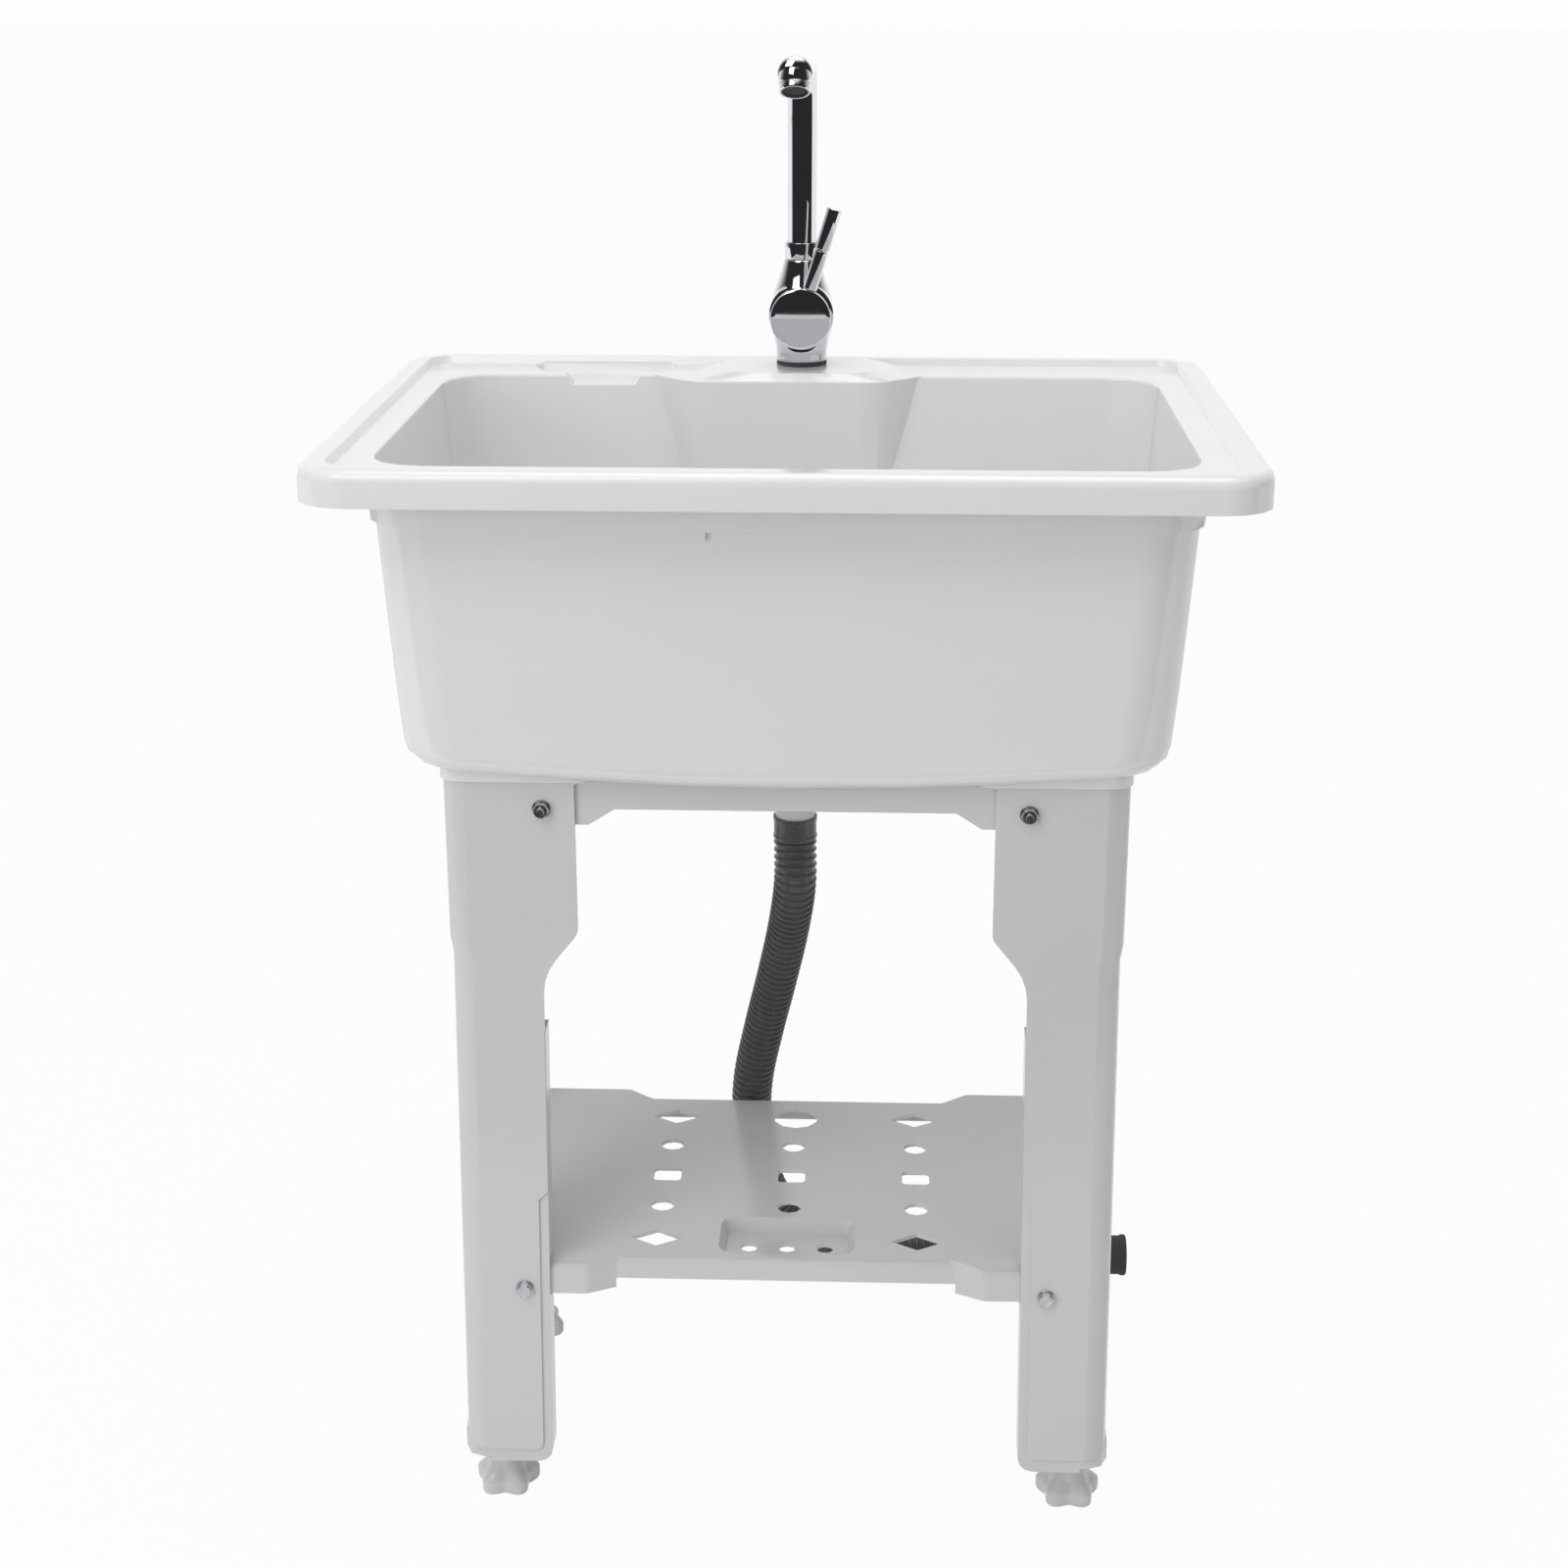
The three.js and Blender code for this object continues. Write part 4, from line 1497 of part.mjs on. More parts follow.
// Supply tail: straight through the shank, then spread from its twin, ending in a threaded nipple.
function makeInlet(side) {
  const top = SEAT + SHANK_SOCKET + INLET_SOCKET - GAP;
  const bottom = top - INLET_LENGTH;
  const spreadStart = SHANK_TOP - SHANK_LENGTH;
  const path = new THREE.CatmullRomCurve3([
    new Vector3(side * INLET_SPACING, 0, top),
    new Vector3(side * INLET_SPACING, 0, (top + spreadStart) / 2),
    new Vector3(side * INLET_SPACING, 0, spreadStart),
    new Vector3(side * (INLET_SPACING + INLET_SPREAD) / 2, 0, (spreadStart + bottom + NIPPLE_LENGTH) / 2),
    new Vector3(side * INLET_SPREAD, 0, bottom + NIPPLE_LENGTH),
    new Vector3(side * INLET_SPREAD, 0, bottom + NIPPLE_LENGTH / 2),
  ]);
  const section = new THREE.Shape().absarc(0, 0, INLET_RADIUS, 0, 2 * Math.PI);
  const tail = new THREE.ExtrudeGeometry(section, {
    steps: INLET_STEPS,
    curveSegments: SMALL_SIDES / 2,
    extrudePath: path,
  });
  const nipple = rod(NIPPLE_RADIUS, bottom, bottom + NIPPLE_LENGTH, SMALL_SIDES)
    .translate(side * INLET_SPREAD, 0, 0);
  return joined(tail, nipple);
}

add('hot_inlet', makeInlet(-1), brass, tap);
add('cold_inlet', makeInlet(1), brass, tap);

export default sink;
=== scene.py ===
"""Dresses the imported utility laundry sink: finishes for its solids, and finer pieces over plain ones."""

import json
import math

import bmesh
import bpy
from bpy.props import FloatProperty, FloatVectorProperty, IntProperty, PointerProperty
from mathutils import Matrix, Vector


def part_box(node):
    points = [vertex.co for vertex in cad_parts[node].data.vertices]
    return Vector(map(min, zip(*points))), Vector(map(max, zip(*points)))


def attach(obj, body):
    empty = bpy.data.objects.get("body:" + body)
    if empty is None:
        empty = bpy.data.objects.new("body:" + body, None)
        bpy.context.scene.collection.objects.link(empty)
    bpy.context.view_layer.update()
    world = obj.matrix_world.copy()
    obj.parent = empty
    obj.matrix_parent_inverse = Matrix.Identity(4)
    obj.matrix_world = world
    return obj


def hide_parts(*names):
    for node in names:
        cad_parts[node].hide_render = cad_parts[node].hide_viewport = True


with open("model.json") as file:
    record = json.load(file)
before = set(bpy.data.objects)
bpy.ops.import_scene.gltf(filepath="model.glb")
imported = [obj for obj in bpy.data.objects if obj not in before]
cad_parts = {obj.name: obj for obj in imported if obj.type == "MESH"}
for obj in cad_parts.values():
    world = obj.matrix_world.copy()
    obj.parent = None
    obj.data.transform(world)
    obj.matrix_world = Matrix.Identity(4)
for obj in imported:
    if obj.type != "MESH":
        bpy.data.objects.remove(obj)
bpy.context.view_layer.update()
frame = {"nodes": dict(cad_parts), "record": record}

bl_info = {
    "name": "Utility Laundry Sink",
    "version": (1, 0, 0),
    "blender": (4, 5, 0),
    "location": "View3D > Sidebar > Laundry Sink",
    "description": "Builds the finishes and fine pieces of a utility laundry sink",
    "category": "Object",
}

MM = 0.001
CORNERS = ("front_left", "front_right", "back_left", "back_right")
GAP = 0.3  # clearance left between pieces that touch, in millimetres

# Middle of the waste hose, from under the tub to its cuff on the floor
HOSE_ROUTE = (
    (0, 50, 459.7), (0, 50, 424), (-6, 72, 376), (-16, 94, 324), (-27.5, 116, 270), (-36.5, 129, 222),
    (-38.5, 134, 190), (-35, 138, 146), (-22, 152, 98), (8, 174, 52), (56, 196, 24.5), (108, 205, 18.2),
    (160, 206, 18), (205, 206, 18), (244, 206, 18),
)

# The tap in millimetres. Heights are over the rim's top, unless a line says otherwise.
RIM_TOP = 800.0  # over the floor
TAP_Y = 188.0
SEAT = 3.2  # foot of the tap's body
BODY_TOP = 80.0
BODY_FOOT_RADIUS = 20.0
BODY_TOP_RADIUS = 13.6
HOUSING_RADIUS = 24.8  # round housing of the cartridge
HOUSING_BORE = 16.0
BALL_RADIUS = 21.0  # back of the housing, which the cap rides on
AXIS_HEIGHT = 39.0  # of the cartridge
PIVOT_SETBACK = 13.0
SHANK_RADIUS = 16.0
SHANK_LENGTH = 62.0
SHANK_SOCKET = 12.0  # depth of the shank's hole in the body
COLLAR_RADIUS = 13.3
SPOUT_SOCKET = 20.0  # how deep the spout stands in the body
SPOUT_RADIUS = 11.1
SPOUT_BEND = 24.0
SPOUT_AXIS = 225.0  # height of the arm
SPOUT_REACH = 163.0
SPOUT_END = 12.4  # straight run at the arm's end
NOZZLE_RADIUS = 11.2
NOZZLE_TILT = math.radians(28)
CAP_RADIUS = 23.0
CAP_BACK = 24.3  # where the cap's domed front starts, from the pivot
LEVER_REST = math.radians(17.4)
LEVER_LIFT = math.radians(20)
LEVER_SEAT = 19.0  # how far the lever stands in front of the pivot
LEVER_FOOT, LEVER_WAIST, LEVER_TOP = 23.3, 54.3, 85.3  # along the lever, from the cartridge's axis

# Angles and distances of the mesh work
SHARP_ANGLE = math.radians(38)
EDGE_ANGLE = math.radians(32)
FLAT_ANGLE = math.radians(0.6)
CAD_MERGE = 2e-6
SEAM_MERGE = 1e-7
QUARTER = math.pi / 2

BODY_OF = {node: body for body, nodes in frame["record"]["behaviour"]["bodies"].items() for node in nodes}
SLOT_OF = {part["node"]: part["material_slot"] for part in frame["record"]["subparts"]}


# ---------------------------------------------------------------- settings


def colour(name, description, default):
    return FloatVectorProperty(name=name, description=description, default=default, subtype="COLOR",
                               size=3, min=0.0, max=1.0)


def length(name, description, default):
    return FloatProperty(name=name, description=description, default=default, subtype="DISTANCE",
                         unit="LENGTH", min=0.0)


def fraction(name, description, default, most=1.0):
    return FloatProperty(name=name, description=description, default=default, subtype="FACTOR",
                         min=0.0, max=most)


def strength(name, description, default):
    return FloatProperty(name=name, description=description, default=default, unit="POWER", min=0.0)


def heading(name, description, degrees):
    return FloatProperty(name=name, description=description, default=math.radians(degrees),
                         subtype="ANGLE", unit="ROTATION")


class FinishSettings(bpy.types.PropertyGroup):
    tub: colour("Tub", "Colour of the glossy tub", (0.86, 0.86, 0.868))
    frame_parts: colour("Frame", "Colour of the legs, aprons and shelf", (0.69, 0.69, 0.705))
    waste: colour("Waste fittings", "Colour of the tailpiece and its nut", (0.80, 0.80, 0.80))
    hose: colour("Hose", "Colour of the ribbed hose", (0.105, 0.105, 0.11))
    rubber: colour("Rubber", "Colour of the gaskets and the end cuff", (0.012, 0.012, 0.013))
    tub_roughness: fraction("Tub roughness", "Roughness of the tub's skin", 0.16)
    frame_roughness: fraction("Frame roughness", "Roughness of the frame's skin", 0.2)


class HoseSettings(bpy.types.PropertyGroup):
    crest: length("Crest radius", "Radius over the ribs", 16.5 * MM)
    depth: length("Rib depth", "Height of a rib over its groove", 1.8 * MM)
    bore: length("Bore radius", "Radius inside the hose", 12.5 * MM)
    pitch: length("Rib pitch", "Distance from rib to rib", 6 * MM)
    sides: IntProperty(name="Sides", description="Faces round the hose", default=28, min=8, max=64)


class FastenerSettings(bpy.types.PropertyGroup):
    washer: length("Washer radius", "Radius of a washer", 6.4 * MM)
    washer_thickness: length("Washer thickness", "Thickness of a washer", 1.2 * MM)
    corner: length("Corner radius", "Radius across the corners of a hexagon", 5.8 * MM)
    head: length("Head height", "Height of a bolt's head", 4 * MM)
    nut: length("Nut height", "Height of a nut", 5 * MM)
    shank: length("Shank radius", "Radius over a bolt's thread", 3 * MM)
    pitch: length("Thread pitch", "Distance from thread to thread", 1 * MM)


class FootSettings(bpy.types.PropertyGroup):
    radius: length("Radius", "Middle radius of a foot's petals", 21.3 * MM)
    neck: length("Neck radius", "Radius of the neck under the leg", 11.6 * MM)
    height: length("Height", "Height of a foot under the leg", 43.7 * MM)
    petals: IntProperty(name="Petals", description="Petals round a foot", default=5, min=3, max=12)
    swell: fraction("Petal swell", "Share of the radius by which the petals swell", 0.15, most=0.4)


class StageSettings(bpy.types.PropertyGroup):
    key: strength("Key light", "Strength of the large soft light", 20.0)
    front: strength("Front light", "Strength of the light from the front left", 21.0)
    top: strength("Top light", "Strength of the light from above", 17.0)
    ambient: FloatProperty(name="Ambient", description="Strength of the light from all round", default=0.5,
                           min=0.0)
    floor: colour("Floor", "Colour of the floor", (0.75, 0.75, 0.75))
    lens: FloatProperty(name="Lens", description="Focal length of the camera", default=58.576,
                        min=1.0, subtype="DISTANCE_CAMERA")
    tilt: heading("Tilt", "How far the camera looks down", 18.758)
    turn: heading("Turn", "How far the camera looks to the left", 2.155)


class SinkSettings(bpy.types.PropertyGroup):
    finish: PointerProperty(type=FinishSettings, name="Finishes", description="Colours and gloss")
    hose: PointerProperty(type=HoseSettings, name="Hose", description="Sizes of the ribbed hose")
    fastener: PointerProperty(type=FastenerSettings, name="Fasteners", description="Sizes of the fasteners")
    foot: PointerProperty(type=FootSettings, name="Feet", description="Sizes of the levelling feet")
    stage: PointerProperty(type=StageSettings, name="Stage", description="Camera and light")


def settings():
    return bpy.context.scene.laundry_sink


# ---------------------------------------------------------------- finishes

# What each slot's material is made of: name, colour, roughness, how metallic it is, and the noises that
# vary its colour, its roughness and its height. A noise is (scale, detail, amount), and its stretch if it
# has one. A colour or a roughness in quotes is one of the settings.
FINISHES = {
    "tub_white": ("glossy_white_plastic", "tub", "tub_roughness", 0.0,
                  (7, 3, 0.012), (12, 2, 0.1), (16, 1, 0.0001)),
    "frame_white": ("satin_white_plastic", "frame_parts", "frame_roughness", 0.0,
                    (9, 3, 0.015), (12, 2, 0.08), (14, 1, 0.00012)),
    "waste_white": ("satin_waste_plastic", "waste", 0.34, 0.0,
                    None, (90, 3, 0.2), (900, 1, 0.00002)),
    "chrome": ("polished_chrome", (0.80, 0.81, 0.83), 0.045, 1.0,
               None, (45, 4, 0.35), (30, 1, 0.00002)),
    "brass": ("machined_brass", (0.62, 0.45, 0.18), 0.3, 1.0,
              (40, 3, 0.08), (500, 2, 0.3, (1, 1, 6)), (700, 1, 0.00001, (1, 1, 8))),
    "zinc_steel": ("zinc_plated_steel", (0.60, 0.61, 0.63), 0.34, 1.0,
                   (180, 3, 0.12), (260, 3, 0.25), (500, 2, 0.00002)),
    "stainless": ("satin_stainless", (0.60, 0.61, 0.62), 0.22, 1.0,
                  None, (320, 3, 0.3, (1, 12, 1)), (400, 2, 0.00001, (1, 14, 1))),
    "grey_vinyl": ("grey_flexible_vinyl", "hose", 0.26, 0.0,
                   (40, 2, 0.06), (60, 2, 0.15), None),
    "black_rubber": ("black_rubber", "rubber", 0.55, 0.0,
                     None, (150, 3, 0.2), (800, 2, 0.00003)),
    "cartridge_white": ("matt_ceramic", (0.82, 0.81, 0.77), 0.45, 0.0,
                        None, (140, 2, 0.15), (600, 1, 0.00001)),
}
# Further inputs of the shader
SHADER_EXTRAS = {
    "tub_white": {"Coat Weight": 0.35, "Coat Roughness": 0.06},
    "black_rubber": {"Specular IOR Level": 0.25},
}
NOISE_LOW, NOISE_HIGH = 0.3, 0.7  # values of a noise that stand for its lowest and highest


def nodes_of(block):
    block.use_nodes = True
    return block.node_tree.nodes, block.node_tree.links


def finish(slot):
    """Material of a slot, made when it is first asked for."""
    name, base, roughness, metallic, tint, gloss, relief = FINISHES[slot]
    material = bpy.data.materials.get(name)
    if material:
        return material
    material = bpy.data.materials.new(name)
    nodes, links = nodes_of(material)
    shader = nodes["Principled BSDF"]
    chosen = settings().finish
    base = getattr(chosen, base) if isinstance(base, str) else base
    roughness = getattr(chosen, roughness) if isinstance(roughness, str) else roughness
    inputs = {"Base Color": (*base, 1.0), "Roughness": roughness, "Metallic": metallic,
              **SHADER_EXTRAS.get(slot, {})}
    for key, value in inputs.items():
        shader.inputs[key].default_value = value
    if tint:
        share = tint[2]
        ramp = nodes.new("ShaderNodeValToRGB")
        for element, place, level in zip(ramp.color_ramp.elements, (NOISE_LOW, NOISE_HIGH),
                                         (1 - share, 1 + share)):
            element.position = place
            element.color = (*(min(part * level, 1.0) for part in base), 1.0)
        links.new(noise(nodes, links, tint), ramp.inputs["Fac"])
        links.new(ramp.outputs["Color"], shader.inputs["Base Color"])
    if gloss:
        share = gloss[2]
        spread = nodes.new("ShaderNodeMapRange")
        limits = (("From Min", NOISE_LOW), ("From Max", NOISE_HIGH),
                  ("To Min", roughness * (1 - share)), ("To Max", roughness * (1 + share)))
        for key, value in limits:
            spread.inputs[key].default_value = value
        links.new(noise(nodes, links, gloss), spread.inputs["Value"])
        links.new(spread.outputs["Result"], shader.inputs["Roughness"])
    if relief:
        bump = nodes.new("ShaderNodeBump")
        bump.inputs["Strength"].default_value = 1.0
        bump.inputs["Distance"].default_value = relief[2]
        links.new(noise(nodes, links, relief), bump.inputs["Height"])
        links.new(bump.outputs["Normal"], shader.inputs["Normal"])
    return material


def noise(nodes, links, wanted):
    """Output of a noise texture in the object's own space."""
    scale, detail, _, *stretch = wanted
    mapping = nodes.new("ShaderNodeMapping")
    mapping.inputs["Scale"].default_value = stretch[0] if stretch else (1, 1, 1)
    links.new(nodes.new("ShaderNodeTexCoord").outputs["Object"], mapping.inputs["Vector"])
    texture = nodes.new("ShaderNodeTexNoise")
    texture.inputs["Scale"].default_value = scale
    texture.inputs["Detail"].default_value = detail
    links.new(mapping.outputs["Vector"], texture.inputs["Vector"])
    return texture.outputs["Fac"]


# ---------------------------------------------------------------- shaping


def as_object(bm, name):
    mesh = bpy.data.meshes.new(name)
    bm.to_mesh(mesh)
    bm.free()
    made = bpy.data.objects.new(name, mesh)
    bpy.context.scene.collection.objects.link(made)
    return made


def finish_piece(bm, name, node):
    """Makes an object of a finished bmesh, and ties it to the CAD node that it stands for."""
    piece = as_object(bm, name)
    piece.data.shade_smooth()
    piece.data.set_sharp_from_angle(angle=SHARP_ANGLE)
    piece.data.materials.append(finish(SLOT_OF[node]))
    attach(piece, BODY_OF[node])
    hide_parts(node)
    return piece


def round_edges(piece, width, segments):
    """Rounds the sharp edges of a piece and evens its shading."""
    bevel = piece.modifiers.new("edges", "BEVEL")
    bevel.width = width
    bevel.segments = segments
    bevel.limit_method = "ANGLE"
    bevel.angle_limit = EDGE_ANGLE
    bevel.use_clamp_overlap = True
    normals = piece.modifiers.new("shading", "WEIGHTED_NORMAL")
    normals.keep_sharp = True


def merged_copy(node):
    """Bmesh of a CAD node with its loose triangles joined and its flat faces made whole."""
    bm = bmesh.new()
    bm.from_mesh(frame["nodes"][node].data)
    bmesh.ops.remove_doubles(bm, verts=bm.verts, dist=CAD_MERGE)
    bmesh.ops.dissolve_limit(bm, angle_limit=FLAT_ANGLE, verts=bm.verts, edges=bm.edges, delimit=set())
    return bm


def dressed_node(node, edge, segments=2):
    """Skin over one CAD node, with its edges rounded."""
    round_edges(finish_piece(merged_copy(node), f"{node}_skin", node), edge, segments)


def stand_in(bm, node):
    """Finer piece in the place of one CAD node."""
    return finish_piece(bm, f"{node}_fine", node)


def spun(profile, steps=48, scale=1.0):
    """Bmesh of an outline of (radius, height) turned once round the Z axis."""
    bm = bmesh.new()
    verts = [bm.verts.new((radius * scale, 0.0, height * scale)) for radius, height in profile]
    edges = [bm.edges.new(pair) for pair in zip(verts, verts[1:])]
    if profile[0][0] > 0 and profile[-1][0] > 0:
        edges.append(bm.edges.new((verts[-1], verts[0])))
    bmesh.ops.spin(bm, geom=verts + edges, cent=(0, 0, 0), axis=(0, 0, 1), dvec=(0, 0, 0),
                   angle=2 * math.pi, steps=steps, use_merge=True)
    bmesh.ops.remove_doubles(bm, verts=bm.verts, dist=SEAM_MERGE)
    bmesh.ops.recalc_face_normals(bm, faces=bm.faces)
    return bm


def eased(profile, radius, steps=3):
    """Outline with its corners rounded to a radius, given in the outline's own unit."""
    result = [profile[0]]
    for before, corner, after in zip(profile, profile[1:], profile[2:]):
        here = Vector(corner)
        back, on = Vector(before) - here, Vector(after) - here
        turn = back.angle(on) if back.length and on.length else math.pi
        if turn > math.radians(165):
            result.append(corner)
            continue
        reach = min(radius / math.tan(turn / 2), back.length * 0.45, on.length * 0.45)
        start, end = here + back.normalized() * reach, here + on.normalized() * reach
        for k in range(steps + 1):
            t = k / steps
            point = start * (1 - t) ** 2 + here * 2 * t * (1 - t) + end * t ** 2
            result.append(tuple(point))
    result.append(profile[-1])
    return result


def sleeve(inside, outside, height, ease, steps=72):
    """Bmesh of a plain ring on the Z axis, in millimetres, with its edges eased."""
    return spun(eased([(inside, 0), (outside, 0), (outside, height), (inside, height)], ease), steps, MM)


def quads(points):
    """Each four neighbours of a run of points that is lengthened by one point at both ends."""
    run = [2 * points[0] - points[1], *points, 2 * points[-1] - points[-2]]
    return zip(run, run[1:], run[2:], run[3:])


def spline(points, steps):
    """Smooth run of points through a few points of an outline."""
    run = []
    for a, b, c, d in quads([Vector(point) for point in points]):
        for k in range(steps):
            t = k / steps
            run.append(tuple(0.5 * (2 * b + (c - a) * t + (2 * a - 5 * b + 4 * c - d) * t ** 2
                                    + (3 * b - a - 3 * c + d) * t ** 3)))
    run.append(tuple(points[-1]))
    return run


def placed(bm, matrix):
    bmesh.ops.transform(bm, matrix=matrix, verts=bm.verts)
    if matrix.determinant() < 0:
        bmesh.ops.reverse_faces(bm, faces=bm.faces)
    return bm


def shift(x, y, z):
    return Matrix.Translation((x * MM, y * MM, z * MM))


def turned(angle, axis):
    return Matrix.Rotation(angle, 4, axis)


def cube(size, x, y, z):
    bm = bmesh.new()
    bmesh.ops.create_cube(bm, size=size * MM)
    return placed(bm, shift(x, y, z))


def thread_run(root, crest, low, pitch, turns, root_at, crest_at):
    """Outline of a thread, with one root and one crest at given shares of each turn."""
    return [point for turn in range(turns)
            for point in ((root, low + (turn + root_at) * pitch), (crest, low + (turn + crest_at) * pitch))]


def hexed(bm, corner_radius, low, high):
    """Presses the round part between two heights into a hexagon, which leaves its chamfers curved."""
    flat = corner_radius * math.cos(math.pi / 6)
    for vert in bm.verts:
        if low <= vert.co.z <= high:
            around = math.atan2(vert.co.y, vert.co.x) % (math.pi / 3) - math.pi / 6
            reach = flat / math.cos(around)
            radius = math.hypot(vert.co.x, vert.co.y)
            if radius > reach:
                vert.co.x *= reach / radius
                vert.co.y *= reach / radius


def settled(part, *tools):
    """Bmesh of an object with its modifiers worked out. The object and its tools are removed."""
    graph = bpy.context.evaluated_depsgraph_get()
    made = bpy.data.meshes.new_from_object(part.evaluated_get(graph))
    result = bmesh.new()
    result.from_mesh(made)
    spent = [made]
    for item in (part, *tools):
        spent.append(item.data)
        bpy.data.objects.remove(item)
    for mesh in spent:
        bpy.data.meshes.remove(mesh)
    return result


def combined(base, tools, operation):
    """Joins or cuts closed bmeshes with the boolean modifier, and gives the result back as a bmesh."""
    part, *others = [as_object(bm, "part") for bm in (base, *tools)]
    for tool in others:
        step = part.modifiers.new("step", "BOOLEAN")
        step.operation = operation
        step.solver = "EXACT"
        step.object = tool
    return settled(part, *others)


def fused(bm, voxel, rounds):
    """Skin remade in even cells and smoothed, so that joined forms flow into each other."""
    part = as_object(bm, "part")
    cells = part.modifiers.new("cells", "REMESH")
    cells.mode = "VOXEL"
    cells.voxel_size = voxel
    result = settled(part)
    for _ in range(rounds):
        bmesh.ops.smooth_vert(result, verts=result.verts, factor=0.5, use_axis_x=True, use_axis_y=True,
                              use_axis_z=True)
    return result


def sides_of(corner):
    """Signs of the X and Y side that a corner of the frame stands on."""
    return (-1 if corner.endswith("left") else 1), (-1 if corner.startswith("front") else 1)


def box_of(node):
    """Middle and size of a CAD node's box."""
    low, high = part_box(node)
    return (low + high) / 2, high - low


def facing(direction):
    """Rotation that takes +Z to a direction."""
    return Vector(direction).to_track_quat("Z", "Y").to_matrix().to_4x4()


# ---------------------------------------------------------------- hose


ROUTE_STEPS = 600  # evenly spaced points along the hose
ROUTE_DENSITY = 60  # points worked out between two places of the route
BORE_STEPS = 80
# A rib's outline: how far along the pitch, and how much of the rib's depth it lies under the crest
RIB = ((0.22, 1.0), (0.34, 0.2), (0.44, 0.0), (0.56, 0.0), (0.66, 0.2), (0.78, 1.0))


def route_points(route, steps):
    """Evenly spaced points along a smooth curve through the route, and the curve's length."""
    points = [Vector(point) * MM for point in route]
    dense = []
    for around in quads(points):
        dense += [centripetal(*around, k / ROUTE_DENSITY) for k in range(ROUTE_DENSITY)]
    dense.append(points[-1])
    runs = [0.0]
    for before, after in zip(dense, dense[1:]):
        runs.append(runs[-1] + (after - before).length)
    spaced, cursor = [], 0
    for k in range(steps + 1):
        target = runs[-1] * k / steps
        while cursor < len(runs) - 2 and runs[cursor + 1] < target:
            cursor += 1
        share = (target - runs[cursor]) / max(runs[cursor + 1] - runs[cursor], 1e-9)
        spaced.append(dense[cursor].lerp(dense[cursor + 1], share))
    return spaced, runs[-1]


def centripetal(a, b, c, d, share):
    """Point between b and c on the curve whose spacing follows the root of the distances."""
    knots = [0.0]
    for first, second in ((a, b), (b, c), (c, d)):
        knots.append(knots[-1] + max((second - first).length ** 0.5, 1e-6))
    at = knots[1] + (knots[2] - knots[1]) * share

    def blend(p, q, low, high):
        return p * ((high - at) / (high - low)) + q * ((at - low) / (high - low))

    ab, bc, cd = (blend(p, q, *knots[i:i + 2]) for i, (p, q) in enumerate(((a, b), (b, c), (c, d))))
    left, right = blend(ab, bc, knots[0], knots[2]), blend(bc, cd, knots[1], knots[3])
    return blend(left, right, knots[1], knots[2])


def bend_along(bm, spaced, total):
    """Moves a straight upright shape so that its axis follows the spaced points."""
    steps = len(spaced) - 1
    directions = [(spaced[min(k + 1, steps)] - spaced[max(k - 1, 0)]).normalized()
                  for k in range(steps + 1)]
    side = Vector((1, 0, 0))
    sides = []
    for direction in directions:
        side = (side - direction * side.dot(direction)).normalized()
        sides.append(side)
    for vert in bm.verts:
        along = min(max(vert.co.z / total * steps, 0.0), float(steps))
        low = min(int(along), steps - 1)
        share = along - low
        middle = spaced[low].lerp(spaced[low + 1], share)
        across = sides[low].lerp(sides[low + 1], share).normalized()
        direction = directions[low].lerp(directions[low + 1], share).normalized()
        vert.co = middle + across * vert.co.x + direction.cross(across) * vert.co.y


class SINK_OT_hose(bpy.types.Operator):
    """Make the ribbed waste hose along its route"""

    bl_idname = "laundry_sink.hose"
    bl_label = "Waste Hose"

    def execute(self, context):
        sizes = settings().hose
        spaced, total = route_points(HOSE_ROUTE, ROUTE_STEPS)
        ribs = round(total / sizes.pitch)
        pitch = total / ribs
        groove = sizes.crest - sizes.depth
        profile = [(sizes.bore, 0.0), (groove, 0.0)]
        for rib in range(ribs):
            profile += [(sizes.crest - sizes.depth * under, (rib + along) * pitch) for along, under in RIB]
        profile += [(groove, total), (sizes.bore, total)]
        profile += [(sizes.bore, total * k / BORE_STEPS) for k in range(BORE_STEPS - 1, -1, -1)]
        bm = spun(profile, sizes.sides)
        bend_along(bm, spaced, total)
        hose = finish_piece(bm, "waste_hose", "drain_hose")
        return {"FINISHED"}


# ---------------------------------------------------------------- tub and frame

TUB_EDGE = 1.1 * MM
FRAME_EDGE = 0.8 * MM


class SINK_OT_tub(bpy.types.Operator):
    """Make the glossy skin of the tub"""

    bl_idname = "laundry_sink.tub"
    bl_label = "Tub"

    def execute(self, context):
        dressed_node("tub", TUB_EDGE, segments=3)
        return {"FINISHED"}


class SINK_OT_frame(bpy.types.Operator):
    """Make the satin skins of the legs, aprons and shelf"""

    bl_idname = "laundry_sink.frame"
    bl_label = "Legs, Aprons and Shelf"

    def execute(self, context):
        for node in (*(f"leg_{corner}" for corner in CORNERS), "apron_front", "apron_back", "shelf"):
            dressed_node(node, FRAME_EDGE)
        return {"FINISHED"}


class SINK_OT_solids(bpy.types.Operator):
    """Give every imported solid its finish"""

    bl_idname = "laundry_sink.solids"
    bl_label = "Finishes on the Solids"

    def execute(self, context):
        for name, node in frame["nodes"].items():
            node.data.materials.clear()
            node.data.materials.append(finish(SLOT_OF[name]))
        return {"FINISHED"}


# ---------------------------------------------------------------- feet

STEM_RADIUS = 5 * MM
STEM_PITCH = 1.5 * MM
STEM_DEPTH = 0.8 * MM
PETAL_TOP = 11 * MM  # height up to which the petals stand out in full
PETAL_FADE = 14 * MM  # height over which they fade into the neck
